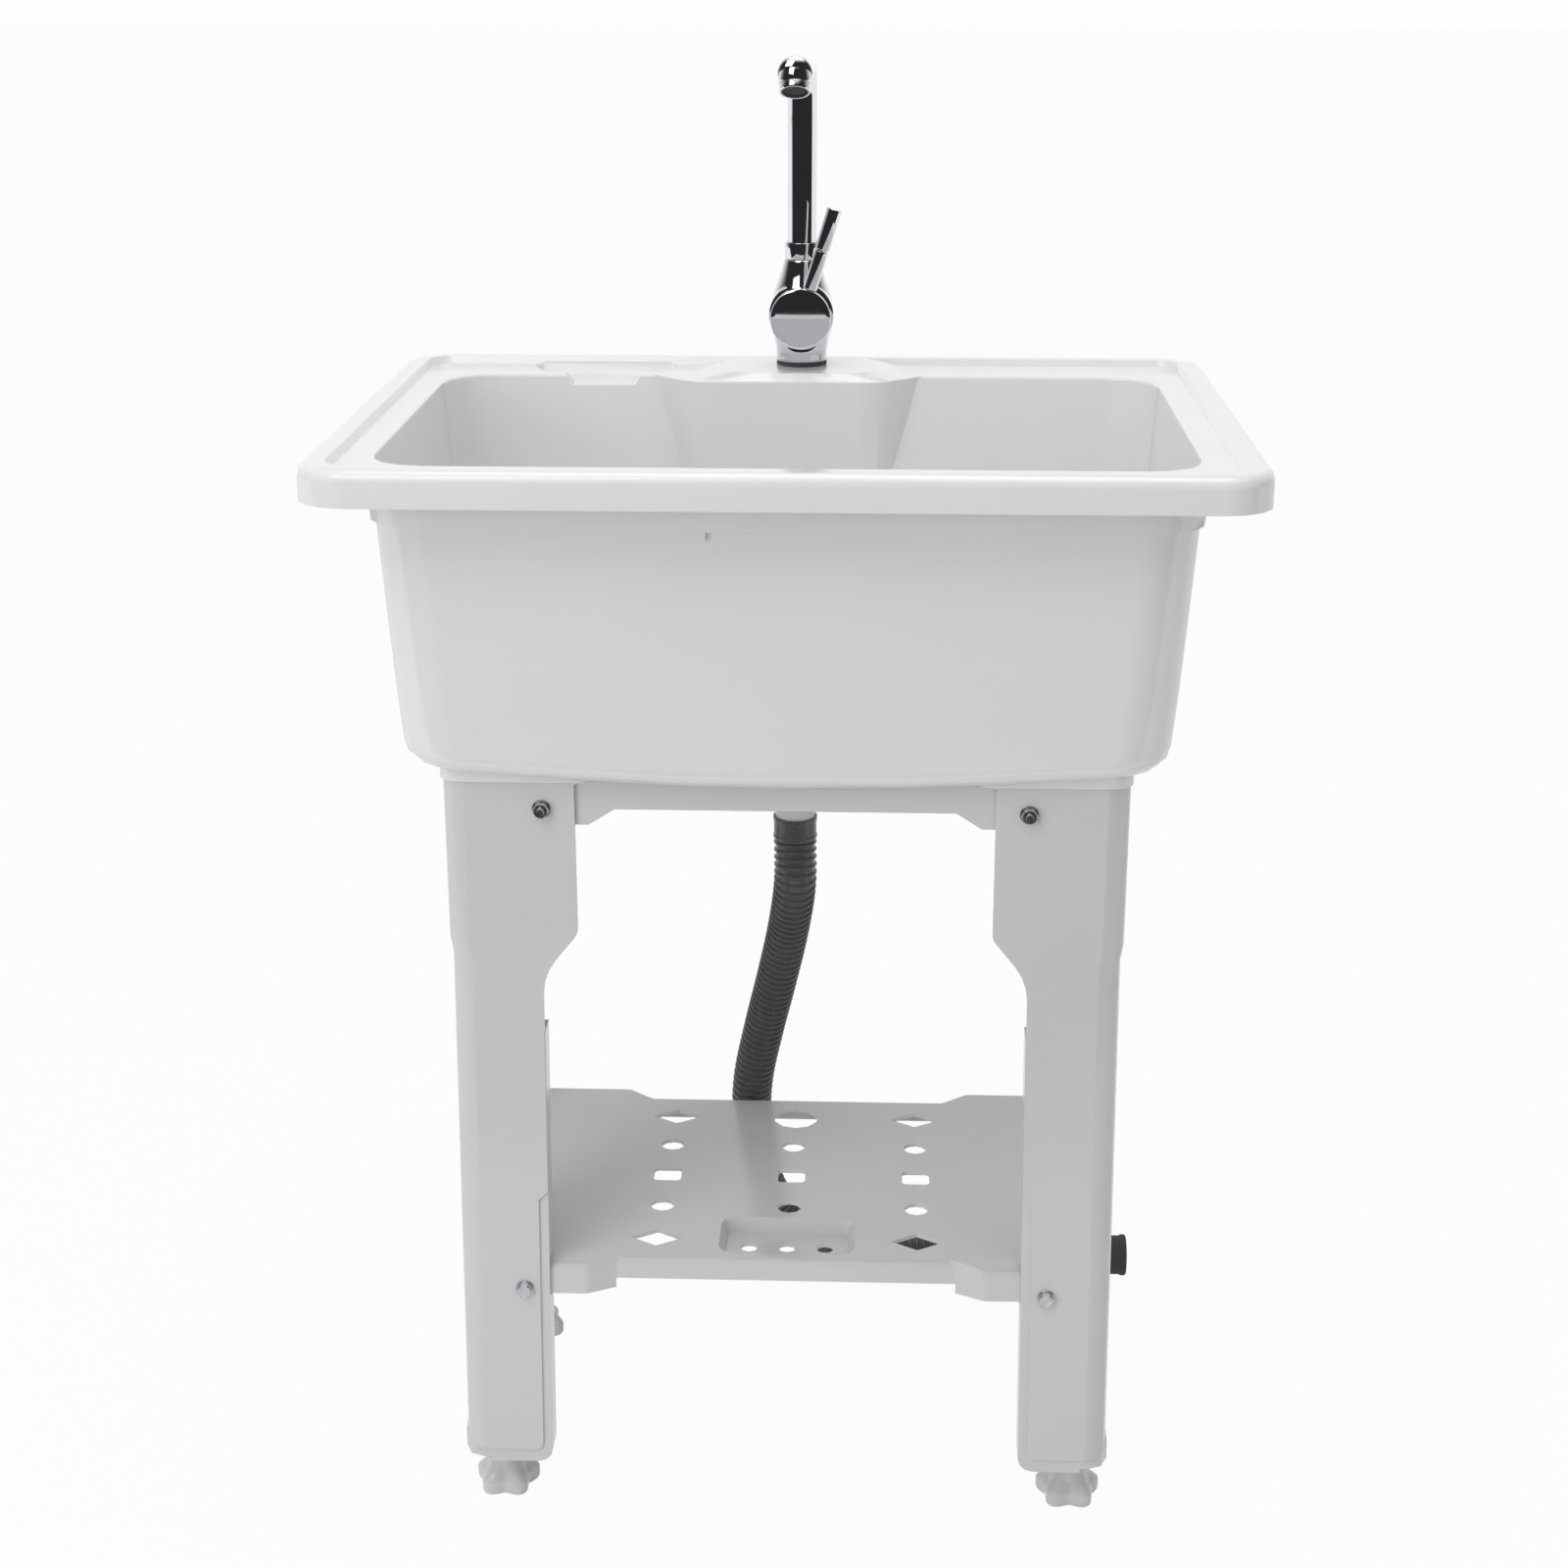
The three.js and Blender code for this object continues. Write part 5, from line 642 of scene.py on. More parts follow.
# The foot's side: how far inside the rim or outside the neck, and how high
FOOT_RIM = ((1.5, 0), (0.2, 2), (0, 6), (0.4, 10.5), (5, 16.5))
FOOT_NECK = ((1.6, 23), (0, 31))


class SINK_OT_feet(bpy.types.Operator):
    """Make the petalled levelling feet with their threaded stems"""

    bl_idname = "laundry_sink.feet"
    bl_label = "Levelling Feet"

    def execute(self, context):
        for corner in CORNERS:
            node = f"foot_{corner}"
            side_x, side_y = sides_of(corner)
            middle, size = box_of(node)
            place = Matrix.Translation((middle.x, middle.y, 0)) @ Matrix.Diagonal((-side_x, -side_y, 1, 1))
            stand_in(placed(make_foot(middle.z + size.z / 2), place), node)
        return {"FINISHED"}


def make_foot(stem_top):
    """Foot from the floor up, with its petals, its neck and its threaded stem."""
    size = settings().foot
    height, root = size.height, STEM_RADIUS - STEM_DEPTH
    side = spline([*((size.radius - inside * MM, z * MM) for inside, z in FOOT_RIM),
                   *((size.neck + outside * MM, z * MM) for outside, z in FOOT_NECK),
                   (size.neck, height)], 5)
    turns = int((stem_top - height - 2 * MM) / STEM_PITCH)
    thread = thread_run(root, STEM_RADIUS, height, STEM_PITCH, turns, 0.15, 0.6)
    profile = [(0.0, 0.0), *side, (root, height), *thread, (root, stem_top - MM),
               (root - STEM_DEPTH, stem_top), (0.0, stem_top)]
    bm = spun(profile, 80)
    for vert in bm.verts:
        if vert.co.z >= height:
            continue
        full = min(max(1 - (vert.co.z - PETAL_TOP) / PETAL_FADE, 0.0), 1.0)
        full = full * full * (3 - 2 * full)
        reach = 1 + size.swell * full * math.sin(size.petals * math.atan2(vert.co.y, vert.co.x))
        vert.co.x *= reach
        vert.co.y *= reach
    return bm


# ---------------------------------------------------------------- fasteners


CROWN = 0.8  # share of a hexagon's corner radius that its chamfer leaves flat
CHAMFER = 0.16  # height of that chamfer, as a share of the corner radius
BORE_EDGE = 0.6 * MM
THREAD_DEPTH = 0.55  # share of the pitch


def threaded(radius, low, high, pitch):
    """Outline of a bolt's thread between two heights, with a pointed end."""
    depth = pitch * THREAD_DEPTH
    thread = thread_run(radius - depth, radius, low, pitch, int((high - low - pitch) / pitch), 0.2, 0.65)
    return [*thread, (radius - depth, high - pitch * 0.7), (radius - depth * 1.4, high)]


def washer_side(low, high):
    """Outline of a washer's rim, with its edges eased."""
    radius, inset, rise = settings().fastener.washer, 0.2 * MM, 0.25 * MM
    return [(radius - inset, low), (radius, low + rise), (radius, high - rise), (radius - inset, high)]


def make_bolt(span):
    """Bolt from its head at zero up to its end, with its washer under the head."""
    size = settings().fastener
    corner, head, washer = size.corner, size.head, size.head + size.washer_thickness
    profile = [(0.0, 0.0), (corner * CROWN, 0.0), (corner, corner * CHAMFER), (corner, head),
               *washer_side(head, washer), (size.shank, washer), (size.shank, washer + 1.5 * MM),
               *threaded(size.shank, washer + 2 * MM, span, size.pitch), (0.0, span)]
    bm = spun(profile, 48)
    hexed(bm, corner, -MM, head * 0.999)
    return bm


def make_nut():
    """Nut over its washer, which stands at zero."""
    size = settings().fastener
    corner, washer, top = size.corner, size.washer_thickness, size.washer_thickness + size.nut
    bore = size.shank + 0.15 * MM
    profile = [(bore, 0.0), *washer_side(0.0, washer), (corner * 0.9, washer * 1.001),
               (corner, washer + corner * 0.12), (corner, top - corner * CHAMFER), (corner * CROWN, top),
               (bore + BORE_EDGE, top), (bore, top - BORE_EDGE)]
    bm = spun(profile, 48)
    hexed(bm, corner, washer * 1.0005, top + MM)
    return bm


class SINK_OT_fasteners(bpy.types.Operator):
    """Make the bolts and nuts with their washers, chamfers and threads"""

    bl_idname = "laundry_sink.fasteners"
    bl_label = "Bolts and Nuts"

    def execute(self, context):
        for corner in CORNERS:
            side_x, side_y = sides_of(corner)
            face = Vector((0, side_y, 0))
            side = face if side_y < 0 else Vector((side_x, 0, 0))
            for node, pointing, maker in (
                (f"apron_bolt_{corner}", face, make_bolt),
                (f"apron_nut_{corner}", face, make_nut),
                (f"shelf_bolt_{corner}", -side, make_bolt),
                (f"shelf_nut_{corner}", -side, make_nut),
            ):
                middle, size = box_of(node)
                half = abs(size.dot(pointing)) / 2
                bm = maker(2 * half) if maker is make_bolt else maker()
                place = Matrix.Translation(middle - pointing * half) @ facing(pointing)
                stand_in(placed(bm, place), node)
        return {"FINISHED"}


# ---------------------------------------------------------------- waste fittings


class SINK_OT_waste(bpy.types.Operator):
    """Make the strainer, its basket, the nut, the tailpiece and the cuffs"""

    bl_idname = "laundry_sink.waste"
    bl_label = "Strainer and Tailpiece"

    def execute(self, context):
        for node, maker in (
            ("strainer_flange", make_strainer),
            ("strainer_basket", make_basket),
            ("drain_gasket", make_gasket),
            ("tailpiece", make_tailpiece),
            ("hose_top_cuff", make_top_cuff),
        ):
            middle, size = box_of(node)
            place = Matrix.Translation(middle - Vector((0, 0, size.z / 2)))
            stand_in(placed(maker(), place), node)
        middle, size = box_of("hose_end_cuff")
        place = Matrix.Translation(middle - Vector((size.x / 2, 0, 0))) @ facing((1, 0, 0))
        stand_in(placed(make_end_cuff(), place), "hose_end_cuff")
        return {"FINISHED"}


# The outlines of these fittings are (radius, height) in millimetres, from each fitting's own foot.
CUP_RADIUS = 24.2
CUP_WALL = 1.8
HOLE_RADIUS = 1.25
HOLE_RINGS = ((9.4, 6), (13.2, 12), (17.4, 16))  # radius of a ring of holes, and how many it has
CUFF_BORE = 12.5
CUFF_RADIUS = 16.8
CAP_HEIGHT = 14.3  # of the nut that is moulded on the tailpiece
CAP_WIDE, CAP_BORE = 31.3, 27.3


def make_strainer():
    return spun(eased([(22, 0), (27, 0), (27, 32), (45, 32), (45, 32.9), (43.2, 33.8), (36, 33.8),
                       (31, 33.4), (27.4, 32.2), (24.5, 30.2), (24.5, 1.8), (22, 1.8)], 0.5), 72, MM)


def make_basket():
    """Cup with a knob in its middle and rings of holes in its floor."""
    inside, wall, top = CUP_RADIUS - CUP_WALL, CUP_WALL, box_of("strainer_basket")[1].z / MM
    cup = spun(eased([(0, 0), (inside, 0), (CUP_RADIUS, wall), (CUP_RADIUS, top), (inside, top),
                      (inside, 2 * wall), (inside - wall, wall), (4, wall), (2, 2 * wall), (2, 10),
                      (4, 11), (4, 12), (0, 12)], 0.45), 72, MM)
    holes = bmesh.new()
    for ring, count in HOLE_RINGS:
        for k in range(count):
            angle = 2 * math.pi * k / count
            bmesh.ops.create_cone(holes, cap_ends=True, segments=16, radius1=HOLE_RADIUS * MM,
                                  radius2=HOLE_RADIUS * MM, depth=8 * MM,
                                  matrix=shift(ring * math.cos(angle), ring * math.sin(angle), 1))
    return combined(cup, [holes], "DIFFERENCE")


def make_gasket():
    return sleeve(27.3, 41, 3, 0.5, 64)


def make_tailpiece():
    top = box_of("tailpiece")[1].z / MM
    cap = top - CAP_HEIGHT
    return spun(eased([(12.9, 0), (15.2, 0), (15.2, cap - 20), (16.4, cap - 18), (30.0, cap - 1.5),
                       (CAP_WIDE, cap), (CAP_WIDE, top), (CAP_BORE, top), (CAP_BORE, top - 10.3),
                       (22, top - 10.3), (12.9, cap - 20)], 0.8), 64, MM)


def make_top_cuff():
    return spun(eased([(CUFF_BORE, 0), (16.2, 0), (CUFF_RADIUS, 1), (CUFF_RADIUS, 3), (16.3, 3.6),
                       (16.3, 14.4), (CUFF_RADIUS, 15), (CUFF_RADIUS, 18), (15.5, 18), (15.5, 2),
                       (CUFF_BORE, 2)], 0.4), 56, MM)


def make_end_cuff():
    return spun(eased([(CUFF_BORE, 0), (16.2, 0), (CUFF_RADIUS, 0.6), (CUFF_RADIUS, 8), (16.4, 8.6),
                       (16.4, 9.8), (CUFF_RADIUS, 10.4), (CUFF_RADIUS, 34), (17.8, 36), (17.8, 39),
                       (CUFF_RADIUS, 40), (CUFF_BORE, 40)], 0.4), 56, MM)


# ---------------------------------------------------------------- tap


def on_tap(z=0.0):
    return shift(0, TAP_Y, RIM_TOP + z)


def on_cartridge():
    """Place of a shape drawn along the cartridge's axis, with the lever's pivot at zero."""
    return on_tap(AXIS_HEIGHT) @ shift(0, -PIVOT_SETBACK, 0) @ turned(QUARTER, "X")


def on_nozzle():
    return on_tap(SPOUT_AXIS) @ shift(0, -SPOUT_REACH, 0) @ turned(math.pi - NOZZLE_TILT, "X")


def on_cap():
    """Place of a shape drawn with the lever straight up, turned to where the lever rests."""
    return on_cartridge() @ turned(-LEVER_REST, "Z")


def on_lever():
    """Place in the cap of a shape drawn along the lever, from the cartridge's axis outward."""
    return shift(0, 0, LEVER_SEAT) @ turned(-QUARTER, "X")


def rod(radius, low, high, steps=48):
    return spun([(0, low), (radius, low), (radius, high), (0, high)], steps, MM)


def ball(radius):
    return spun([(radius * math.sin(math.pi * k / 32), -radius * math.cos(math.pi * k / 32))
                 for k in range(33)], 96, MM)


def make_tap_body():
    """Waisted column with its round housing in front, hollowed for what goes into it."""
    side = spline([(BODY_FOOT_RADIUS, SEAT), (BODY_FOOT_RADIUS, SEAT + 9), (23.4, AXIS_HEIGHT - 11),
                   (HOUSING_RADIUS, AXIS_HEIGHT), (22.2, AXIS_HEIGHT + 14), (16.6, AXIS_HEIGHT + 30),
                   (BODY_TOP_RADIUS, BODY_TOP)], 6)
    column = placed(spun([(0, SEAT), (BODY_FOOT_RADIUS - 0.8, SEAT), *side,
                          (BODY_TOP_RADIUS - 0.7, BODY_TOP), (0, BODY_TOP)], 96, MM), on_tap())
    drum = placed(spun(eased([(0, 0), (22, 0), (HOUSING_RADIUS, 3), (HOUSING_RADIUS, 16.8),
                              (0, 16.8)], 1.2), 96, MM), on_tap(AXIS_HEIGHT) @ turned(QUARTER, "X"))
    whole = fused(combined(column, [drum, placed(ball(BALL_RADIUS), on_cartridge())], "UNION"),
                  0.55 * MM, 6)
    front = placed(cube(60, 0, -PIVOT_SETBACK - 11 - 30, 0), on_tap(AXIS_HEIGHT))
    bore = placed(rod(HOUSING_BORE, -BALL_RADIUS, 22), on_cartridge())
    socket = placed(rod(SPOUT_RADIUS + GAP, BODY_TOP - SPOUT_SOCKET, BODY_TOP + 1), on_tap())
    shank = placed(rod(SHANK_RADIUS + GAP, SEAT - 1, SEAT + SHANK_SOCKET), on_tap())
    inlets = [placed(rod(5 + GAP, SEAT, SEAT + 18, 24), on_tap() @ shift(side * 5.8, 0, 0))
              for side in (-1, 1)]
    return combined(whole, [front, bore, cap_sweep(), socket, shank, *inlets], "DIFFERENCE")


def cap_sweep():
    """Room under the housing for the cap's rear while the lever tips forward."""
    def tipped(radius, along):
        return (radius * math.cos(LEVER_LIFT) + along * math.sin(LEVER_LIFT),
                along * math.cos(LEVER_LIFT) - radius * math.sin(LEVER_LIFT))

    rear, edge, front = 12.4, CAP_RADIUS + 0.6, 25
    sweep = spun([(0, tipped(0, rear)[1]), tipped(0, rear), tipped(edge - 1.6, rear),
                  tipped(edge, rear + 1.6), tipped(edge, front), (0, front)], 96, MM)
    kept = [ball(BALL_RADIUS + 0.05), cube(100, 0, 50, 0)]
    return placed(combined(sweep, kept, "DIFFERENCE"), on_cartridge())


BEND_STEPS = 18
ARM_STEPS = 12
ARM_GROWTH = 1.3  # how much wider the arm gets on its way
END_STEPS = 8
END_DEPTH = 6  # of the arm's domed end


def make_spout():
    """Upright tube that bends into a widening arm with a domed end, and carries the nozzle."""
    bm = bmesh.new()
    bmesh.ops.create_circle(bm, cap_ends=False, segments=72, radius=SPOUT_RADIUS * MM)
    foot = BODY_TOP - SPOUT_SOCKET + GAP
    placed(bm, shift(0, 0, foot))
    ring = list(bm.edges)
    bmesh.ops.edgeloop_fill(bm, edges=ring)
    bmesh.ops.reverse_faces(bm, faces=bm.faces)

    def drawn(edges, move, scale=None, centre=None):
        made = bmesh.ops.extrude_edge_only(bm, edges=edges)["geom"]
        verts = [item for item in made if isinstance(item, bmesh.types.BMVert)]
        bmesh.ops.translate(bm, vec=Vector(move) * MM, verts=verts)
        if scale is not None:
            middle = Vector(centre) * MM
            bmesh.ops.scale(bm, vec=(scale, 1.0, scale), verts=verts, space=Matrix.Translation(-middle))
        return [item for item in made if isinstance(item, bmesh.types.BMEdge)
                and all(vert in verts for vert in item.verts)]

    for _ in range(8):
        ring = drawn(ring, (0, 0, (SPOUT_AXIS - SPOUT_BEND - foot) / 8))
    verts = list(dict.fromkeys(vert for edge in ring for vert in edge.verts))
    bent = bmesh.ops.spin(bm, geom=ring + verts,
                          cent=(0, -SPOUT_BEND * MM, (SPOUT_AXIS - SPOUT_BEND) * MM), axis=(1, 0, 0),
                          dvec=(0, 0, 0), angle=QUARTER, steps=BEND_STEPS, use_merge=False)["geom_last"]
    ring = [item for item in bent if isinstance(item, bmesh.types.BMEdge)]
    arm = SPOUT_REACH - SPOUT_END - SPOUT_BEND
    radii = [SPOUT_RADIUS + ARM_GROWTH * k / ARM_STEPS for k in range(ARM_STEPS + 1)]
    for k in range(ARM_STEPS):
        y = -SPOUT_BEND - arm * (k + 1) / ARM_STEPS
        ring = drawn(ring, (0, -arm / ARM_STEPS, 0), radii[k + 1] / radii[k], (0, y, SPOUT_AXIS))
    for _ in range(5):
        ring = drawn(ring, (0, -SPOUT_END / 5, 0))
    last_wide, last_deep = 1.0, 0.0
    for k in range(1, END_STEPS + 1):
        turn = k / END_STEPS * math.radians(86)
        wide, deep = math.cos(turn), END_DEPTH * math.sin(turn)
        ring = drawn(ring, (0, last_deep - deep, 0), wide / last_wide, (0, -SPOUT_REACH - deep, SPOUT_AXIS))
        last_wide, last_deep = wide, deep
    bmesh.ops.edgeloop_fill(bm, edges=ring)
    bmesh.ops.remove_doubles(bm, verts=bm.verts, dist=SEAM_MERGE)
    bmesh.ops.recalc_face_normals(bm, faces=bm.faces)
    end = 8  # of the nozzle, where the aerator's housing starts
    nozzle = placed(spun([(0, 0), (NOZZLE_RADIUS, 0), (NOZZLE_RADIUS, end - 0.4),
                          (NOZZLE_RADIUS - 0.3, end), (0, end)], 72, MM), on_nozzle())
    cutters = [placed(rod(*cut), on_nozzle()) for cut in ((7.7, 3.7, end + 1), (NOZZLE_RADIUS, end, 30))]
    return combined(combined(placed(bm, on_tap()), [nozzle], "UNION"), cutters, "DIFFERENCE")


GRIP_FLUTES = 24
GRIP_DEPTH = 0.012  # share of the radius


def make_aerator():
    """Housing of the aerator, with shallow flutes to grip it by."""
    bm = spun(eased([(5, 4.3), (7.4, 4.3), (7.4, 8.3), (10.9, 8.3), (10.9, 12.4), (10.4, 13.3),
                     (9.1, 13.3), (9.1, 10.1), (5, 10.1)], 0.3), 72, MM)
    for vert in bm.verts:
        if math.hypot(vert.co.x, vert.co.y) > 10.5 * MM and 9 * MM < vert.co.z < 12 * MM:
            around = math.atan2(vert.co.y, vert.co.x)
            flat = 1 - GRIP_DEPTH * (1 + math.cos(GRIP_FLUTES * around))
            vert.co.x *= flat
            vert.co.y *= flat
    return placed(bm, on_nozzle())


def make_aerator_insert():
    """Disc with raised rings."""
    low, high = 11.1, 11.5  # of the rings, along the nozzle
    disc = spun([(0, 10.4), (8.8, 10.4), (8.8, high), (7.6, high), (7.2, low), (5.4, low), (5.0, high),
                 (3.6, high), (3.2, low), (1.6, low), (1.2, high), (0, high)], 48, MM)
    return placed(disc, on_nozzle())


def make_cap():
    """Cap that rides on the housing's ball, with its spindle behind and its slightly domed front."""
    rider, face, dome_height = BALL_RADIUS + 0.6, CAP_RADIUS - 2.6, 0.8
    hollow = [(rider * math.sin(angle), rider * math.cos(angle))
              for angle in (math.radians(11 + k * 3.5) for k in range(12))]
    edge = eased([hollow[-1], (21.4, 13), (CAP_RADIUS, 14.6), (CAP_RADIUS, 22.4),
                  (CAP_RADIUS - 0.4, 23.5), (face, CAP_BACK)], 0.5)
    dome = [(face * (1 - k / 16), CAP_BACK + dome_height * (1 - (1 - k / 16) ** 2)) for k in range(1, 17)]
    cap = spun([(0, -5), (4, -5), *hollow, *edge, *dome], 96, MM)
    hole = placed(rod(3 + GAP, CAP_RADIUS - 4.3, CAP_RADIUS + 1, 24), on_lever())
    return placed(combined(cap, [hole], "DIFFERENCE"), on_cap())


def make_pin():
    """Lever, with a groove half way up."""
    foot, groove = LEVER_FOOT, LEVER_WAIST - 1.6
    profile = eased([(0, foot - 4), (3, foot - 4), (3, foot), (5.3, foot), (5.3, groove), (4.9, groove),
                     (4.9, LEVER_WAIST), (5.6, LEVER_WAIST), (5.6, LEVER_TOP), (0, LEVER_TOP)], 0.45, 4)
    return placed(spun(profile, 64, MM), on_cap() @ on_lever())


def make_shank():
    """Threaded tube under the tap, drawn from its lower end up."""
    bore, root, crest, pitch, turns = 12.4, SHANK_RADIUS - 0.9, SHANK_RADIUS, 1.6, 30
    thread = thread_run(root, crest, 1, pitch, turns, 0.1875, 0.5625)
    return placed(spun([(bore, 0), (crest - 1, 0), *thread, (crest, 50.5), (crest, SHANK_LENGTH),
                        (bore, SHANK_LENGTH)], 64, MM), on_tap(SEAT + SHANK_SOCKET - GAP - SHANK_LENGTH))


def make_collar():
    return placed(sleeve(SPOUT_RADIUS + GAP, COLLAR_RADIUS, 12.5, 0.35), on_tap(BODY_TOP + GAP))


def make_base_ring():
    return placed(sleeve(SHANK_RADIUS + GAP, BODY_FOOT_RADIUS - 0.7, 2.6, 0.5), on_tap(GAP))


class SINK_OT_tap(bpy.types.Operator):
    """Make the chrome tap: body, collar, spout, aerator, capped lever and its fixing"""

    bl_idname = "laundry_sink.tap"
    bl_label = "Tap"

    def execute(self, context):
        for node, maker in (
            ("tap_body", make_tap_body),
            ("spout", make_spout),
            ("aerator_housing", make_aerator),
            ("aerator_insert", make_aerator_insert),
            ("handle_cap", make_cap),
            ("lever_pin", make_pin),
            ("spout_collar", make_collar),
            ("tap_base_ring", make_base_ring),
            ("tap_shank", make_shank),
        ):
            stand_in(maker(), node)
        return {"FINISHED"}


# ---------------------------------------------------------------- stage


class SINK_OT_stage(bpy.types.Operator):
    """Set up the floor, the soft lights and the camera"""

    bl_idname = "laundry_sink.stage"
    bl_label = "Stage"

    def execute(self, context):
        make_floor()
        make_lights()
        make_world()
        make_camera()
        context.scene.view_settings.view_transform = "Standard"
        return {"FINISHED"}


FLOOR_HALF = 14.0
FLOOR_FRONT = 0.75  # how far the floor reaches in front of the sink's middle
FLOOR_GLOW = 0.95  # share of plain white in what the camera and the mirrors see of the floor
BACKDROP = (0.985, 0.985, 0.985, 1.0)
CAMERA_PLACE = (60.53, -1786.62, 1126.77)  # in millimetres


def make_floor():
    bm = bmesh.new()
    bmesh.ops.create_grid(bm, x_segments=1, y_segments=1, size=FLOOR_HALF)
    bmesh.ops.translate(bm, vec=(0, FLOOR_HALF - FLOOR_FRONT, 0), verts=bm.verts)
    floor = as_object(bm, "floor")
    material = bpy.data.materials.new("pale_floor")
    nodes, links = nodes_of(material)
    shader = nodes["Principled BSDF"]
    shader.inputs["Base Color"].default_value = (*settings().stage.floor, 1.0)
    shader.inputs["Roughness"].default_value = 0.9
    shader.inputs["Specular IOR Level"].default_value = 0.1
    glow = nodes.new("ShaderNodeEmission")
    seen = seen_by(nodes, links, "Is Camera Ray", "Is Transmission Ray", "Is Glossy Ray")
    share = worked_out(nodes, links, "MULTIPLY", seen, FLOOR_GLOW)
    look = mixed(nodes, links, share, shader.outputs["BSDF"], glow.outputs["Emission"])
    links.new(look, nodes["Material Output"].inputs["Surface"])
    floor.data.materials.append(material)


def worked_out(nodes, links, operation, first, second):
    """Output of a math node over an output and another output or number."""
    node = nodes.new("ShaderNodeMath")
    node.operation = operation
    links.new(first, node.inputs[0])
    if isinstance(second, float):
        node.inputs[1].default_value = second
    else:
        links.new(second, node.inputs[1])
    return node.outputs["Value"]


def seen_by(nodes, links, *kinds):
    """One for rays of the given kinds, and zero for all others."""
    rays = nodes.new("ShaderNodeLightPath")
    seen = rays.outputs[kinds[0]]
    for kind in kinds[1:]:
        seen = worked_out(nodes, links, "MAXIMUM", seen, rays.outputs[kind])
    return seen


def mixed(nodes, links, factor, first, second):
    mix = nodes.new("ShaderNodeMixShader")
    for socket, value in zip(mix.inputs, (factor, first, second)):
        links.new(value, socket)
    return mix.outputs["Shader"]


def add_softbox(name, place, aim, size, power, mirrored=True):
    lamp = bpy.data.lights.new(name, "AREA")
    lamp.shape = "RECTANGLE"
    lamp.size, lamp.size_y = size
    lamp.energy = power
    box = bpy.data.objects.new(name, lamp)
    bpy.context.scene.collection.objects.link(box)
    box.location = place
    box.rotation_mode = "QUATERNION"
    box.rotation_quaternion = (Vector(aim) - Vector(place)).to_track_quat("-Z", "Y")
    box.visible_glossy = mirrored


def make_lights():
    stage = settings().stage
    add_softbox("key_light", (-1.1, -1.9, 3.0), (0, 0, 0.6), (1.6, 1.6), stage.key)
    add_softbox("front_light", (-1.9, -2.6, 1.0), (0, 0, 0.5), (1.6, 1.6), stage.front, mirrored=False)
    add_softbox("top_light", (0.1, 0.1, 3.2), (0, 0, 0.6), (1.8, 1.4), stage.top)


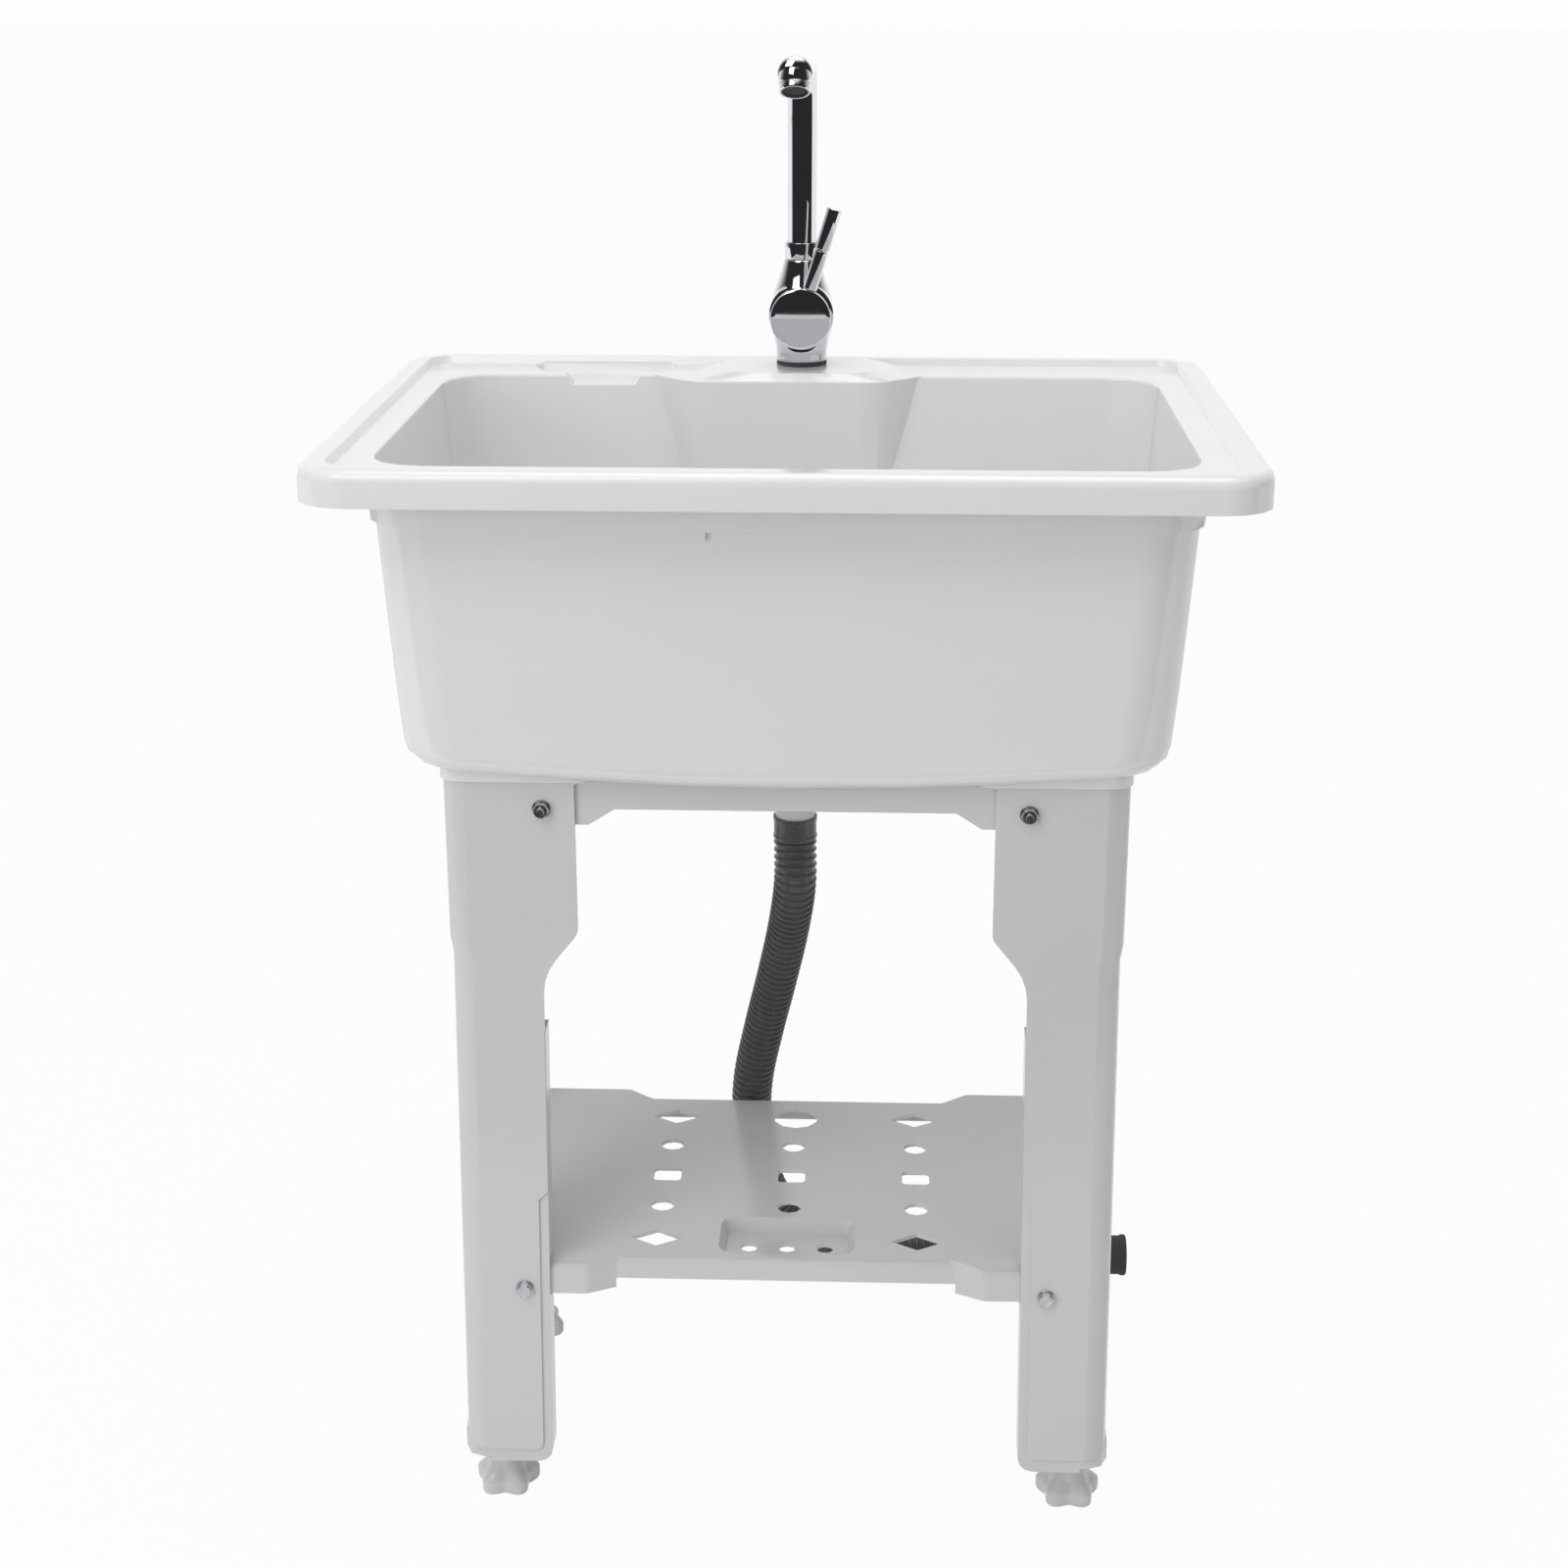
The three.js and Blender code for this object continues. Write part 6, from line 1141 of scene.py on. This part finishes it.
def make_world():
    """Even light for matt surfaces, white for the camera, and a dark front for polished metal to mirror."""
    world = bpy.data.worlds.new("studio")
    bpy.context.scene.world = world
    nodes, links = nodes_of(world)

    def smooth(value, low, high):
        step = nodes.new("ShaderNodeMapRange")
        step.interpolation_type = "SMOOTHSTEP"
        step.inputs["From Min"].default_value = low
        step.inputs["From Max"].default_value = high
        links.new(value, step.inputs["Value"])
        return step.outputs["Result"]

    plain = nodes["Background"]
    plain.inputs["Color"].default_value = (1.0, 1.0, 1.0, 1.0)
    plain.inputs["Strength"].default_value = settings().stage.ambient
    place = nodes.new("ShaderNodeTexCoord")
    split = nodes.new("ShaderNodeSeparateXYZ")
    links.new(place.outputs["Generated"], split.inputs["Vector"])
    forward = smooth(split.outputs["Y"], 1.0, -0.15)
    below_top = smooth(split.outputs["Z"], 0.93, 0.70)
    tone = nodes.new("ShaderNodeMix")
    tone.data_type = "RGBA"
    tone.inputs["A"].default_value = (1.0, 1.0, 1.0, 1.0)
    tone.inputs["B"].default_value = (0.025, 0.025, 0.028, 1.0)
    links.new(worked_out(nodes, links, "MULTIPLY", forward, below_top), tone.inputs["Factor"])
    room = nodes.new("ShaderNodeBackground")
    links.new(tone.outputs["Result"], room.inputs["Color"])
    white = nodes.new("ShaderNodeBackground")
    white.inputs["Color"].default_value = BACKDROP
    mirrored = mixed(nodes, links, seen_by(nodes, links, "Is Glossy Ray"),
                     plain.outputs["Background"], room.outputs["Background"])
    seen = seen_by(nodes, links, "Is Camera Ray", "Is Transmission Ray")
    links.new(mixed(nodes, links, seen, mirrored, white.outputs["Background"]),
              nodes["World Output"].inputs["Surface"])


def make_camera():
    stage = settings().stage
    data = bpy.data.cameras.new("camera")
    data.sensor_width = 36.0
    data.lens = stage.lens
    camera = bpy.data.objects.new("camera", data)
    bpy.context.scene.collection.objects.link(camera)
    aim = turned(stage.turn, "Z") @ turned(QUARTER - stage.tilt, "X")
    camera.matrix_world = shift(*CAMERA_PLACE) @ aim
    bpy.context.scene.camera = camera


class SINK_PT_panel(bpy.types.Panel):
    bl_label = "Laundry Sink"
    bl_idname = "SINK_PT_panel"
    bl_space_type = "VIEW_3D"
    bl_region_type = "UI"
    bl_category = "Laundry Sink"

    def draw(self, context):
        layout = self.layout
        for operator in OPERATORS:
            layout.operator(operator.bl_idname)
        chosen = settings()
        for title, group in (("Finishes", chosen.finish), ("Hose", chosen.hose), ("Feet", chosen.foot),
                             ("Fasteners", chosen.fastener), ("Stage", chosen.stage)):
            box = layout.box()
            box.label(text=title)
            for key in group.bl_rna.properties.keys():
                if key not in {"rna_type", "name"}:
                    box.prop(group, key)


OPERATORS = (SINK_OT_stage, SINK_OT_solids, SINK_OT_waste, SINK_OT_hose, SINK_OT_tub, SINK_OT_frame,
             SINK_OT_feet, SINK_OT_fasteners, SINK_OT_tap)
CLASSES = (FinishSettings, HoseSettings, FastenerSettings, FootSettings, StageSettings, SinkSettings,
           *OPERATORS, SINK_PT_panel)


def register():
    for cls in CLASSES:
        bpy.utils.register_class(cls)
    bpy.types.Scene.laundry_sink = PointerProperty(type=SinkSettings)


def unregister():
    del bpy.types.Scene.laundry_sink
    for cls in reversed(CLASSES):
        bpy.utils.unregister_class(cls)


def main():
    register()
    bpy.ops.laundry_sink.stage()
    bpy.ops.laundry_sink.solids()
    bpy.ops.laundry_sink.waste()
    bpy.ops.laundry_sink.hose()
    bpy.ops.laundry_sink.tub()
    bpy.ops.laundry_sink.frame()
    bpy.ops.laundry_sink.feet()
    bpy.ops.laundry_sink.fasteners()
    bpy.ops.laundry_sink.tap()


if __name__ == "__main__":
    main()
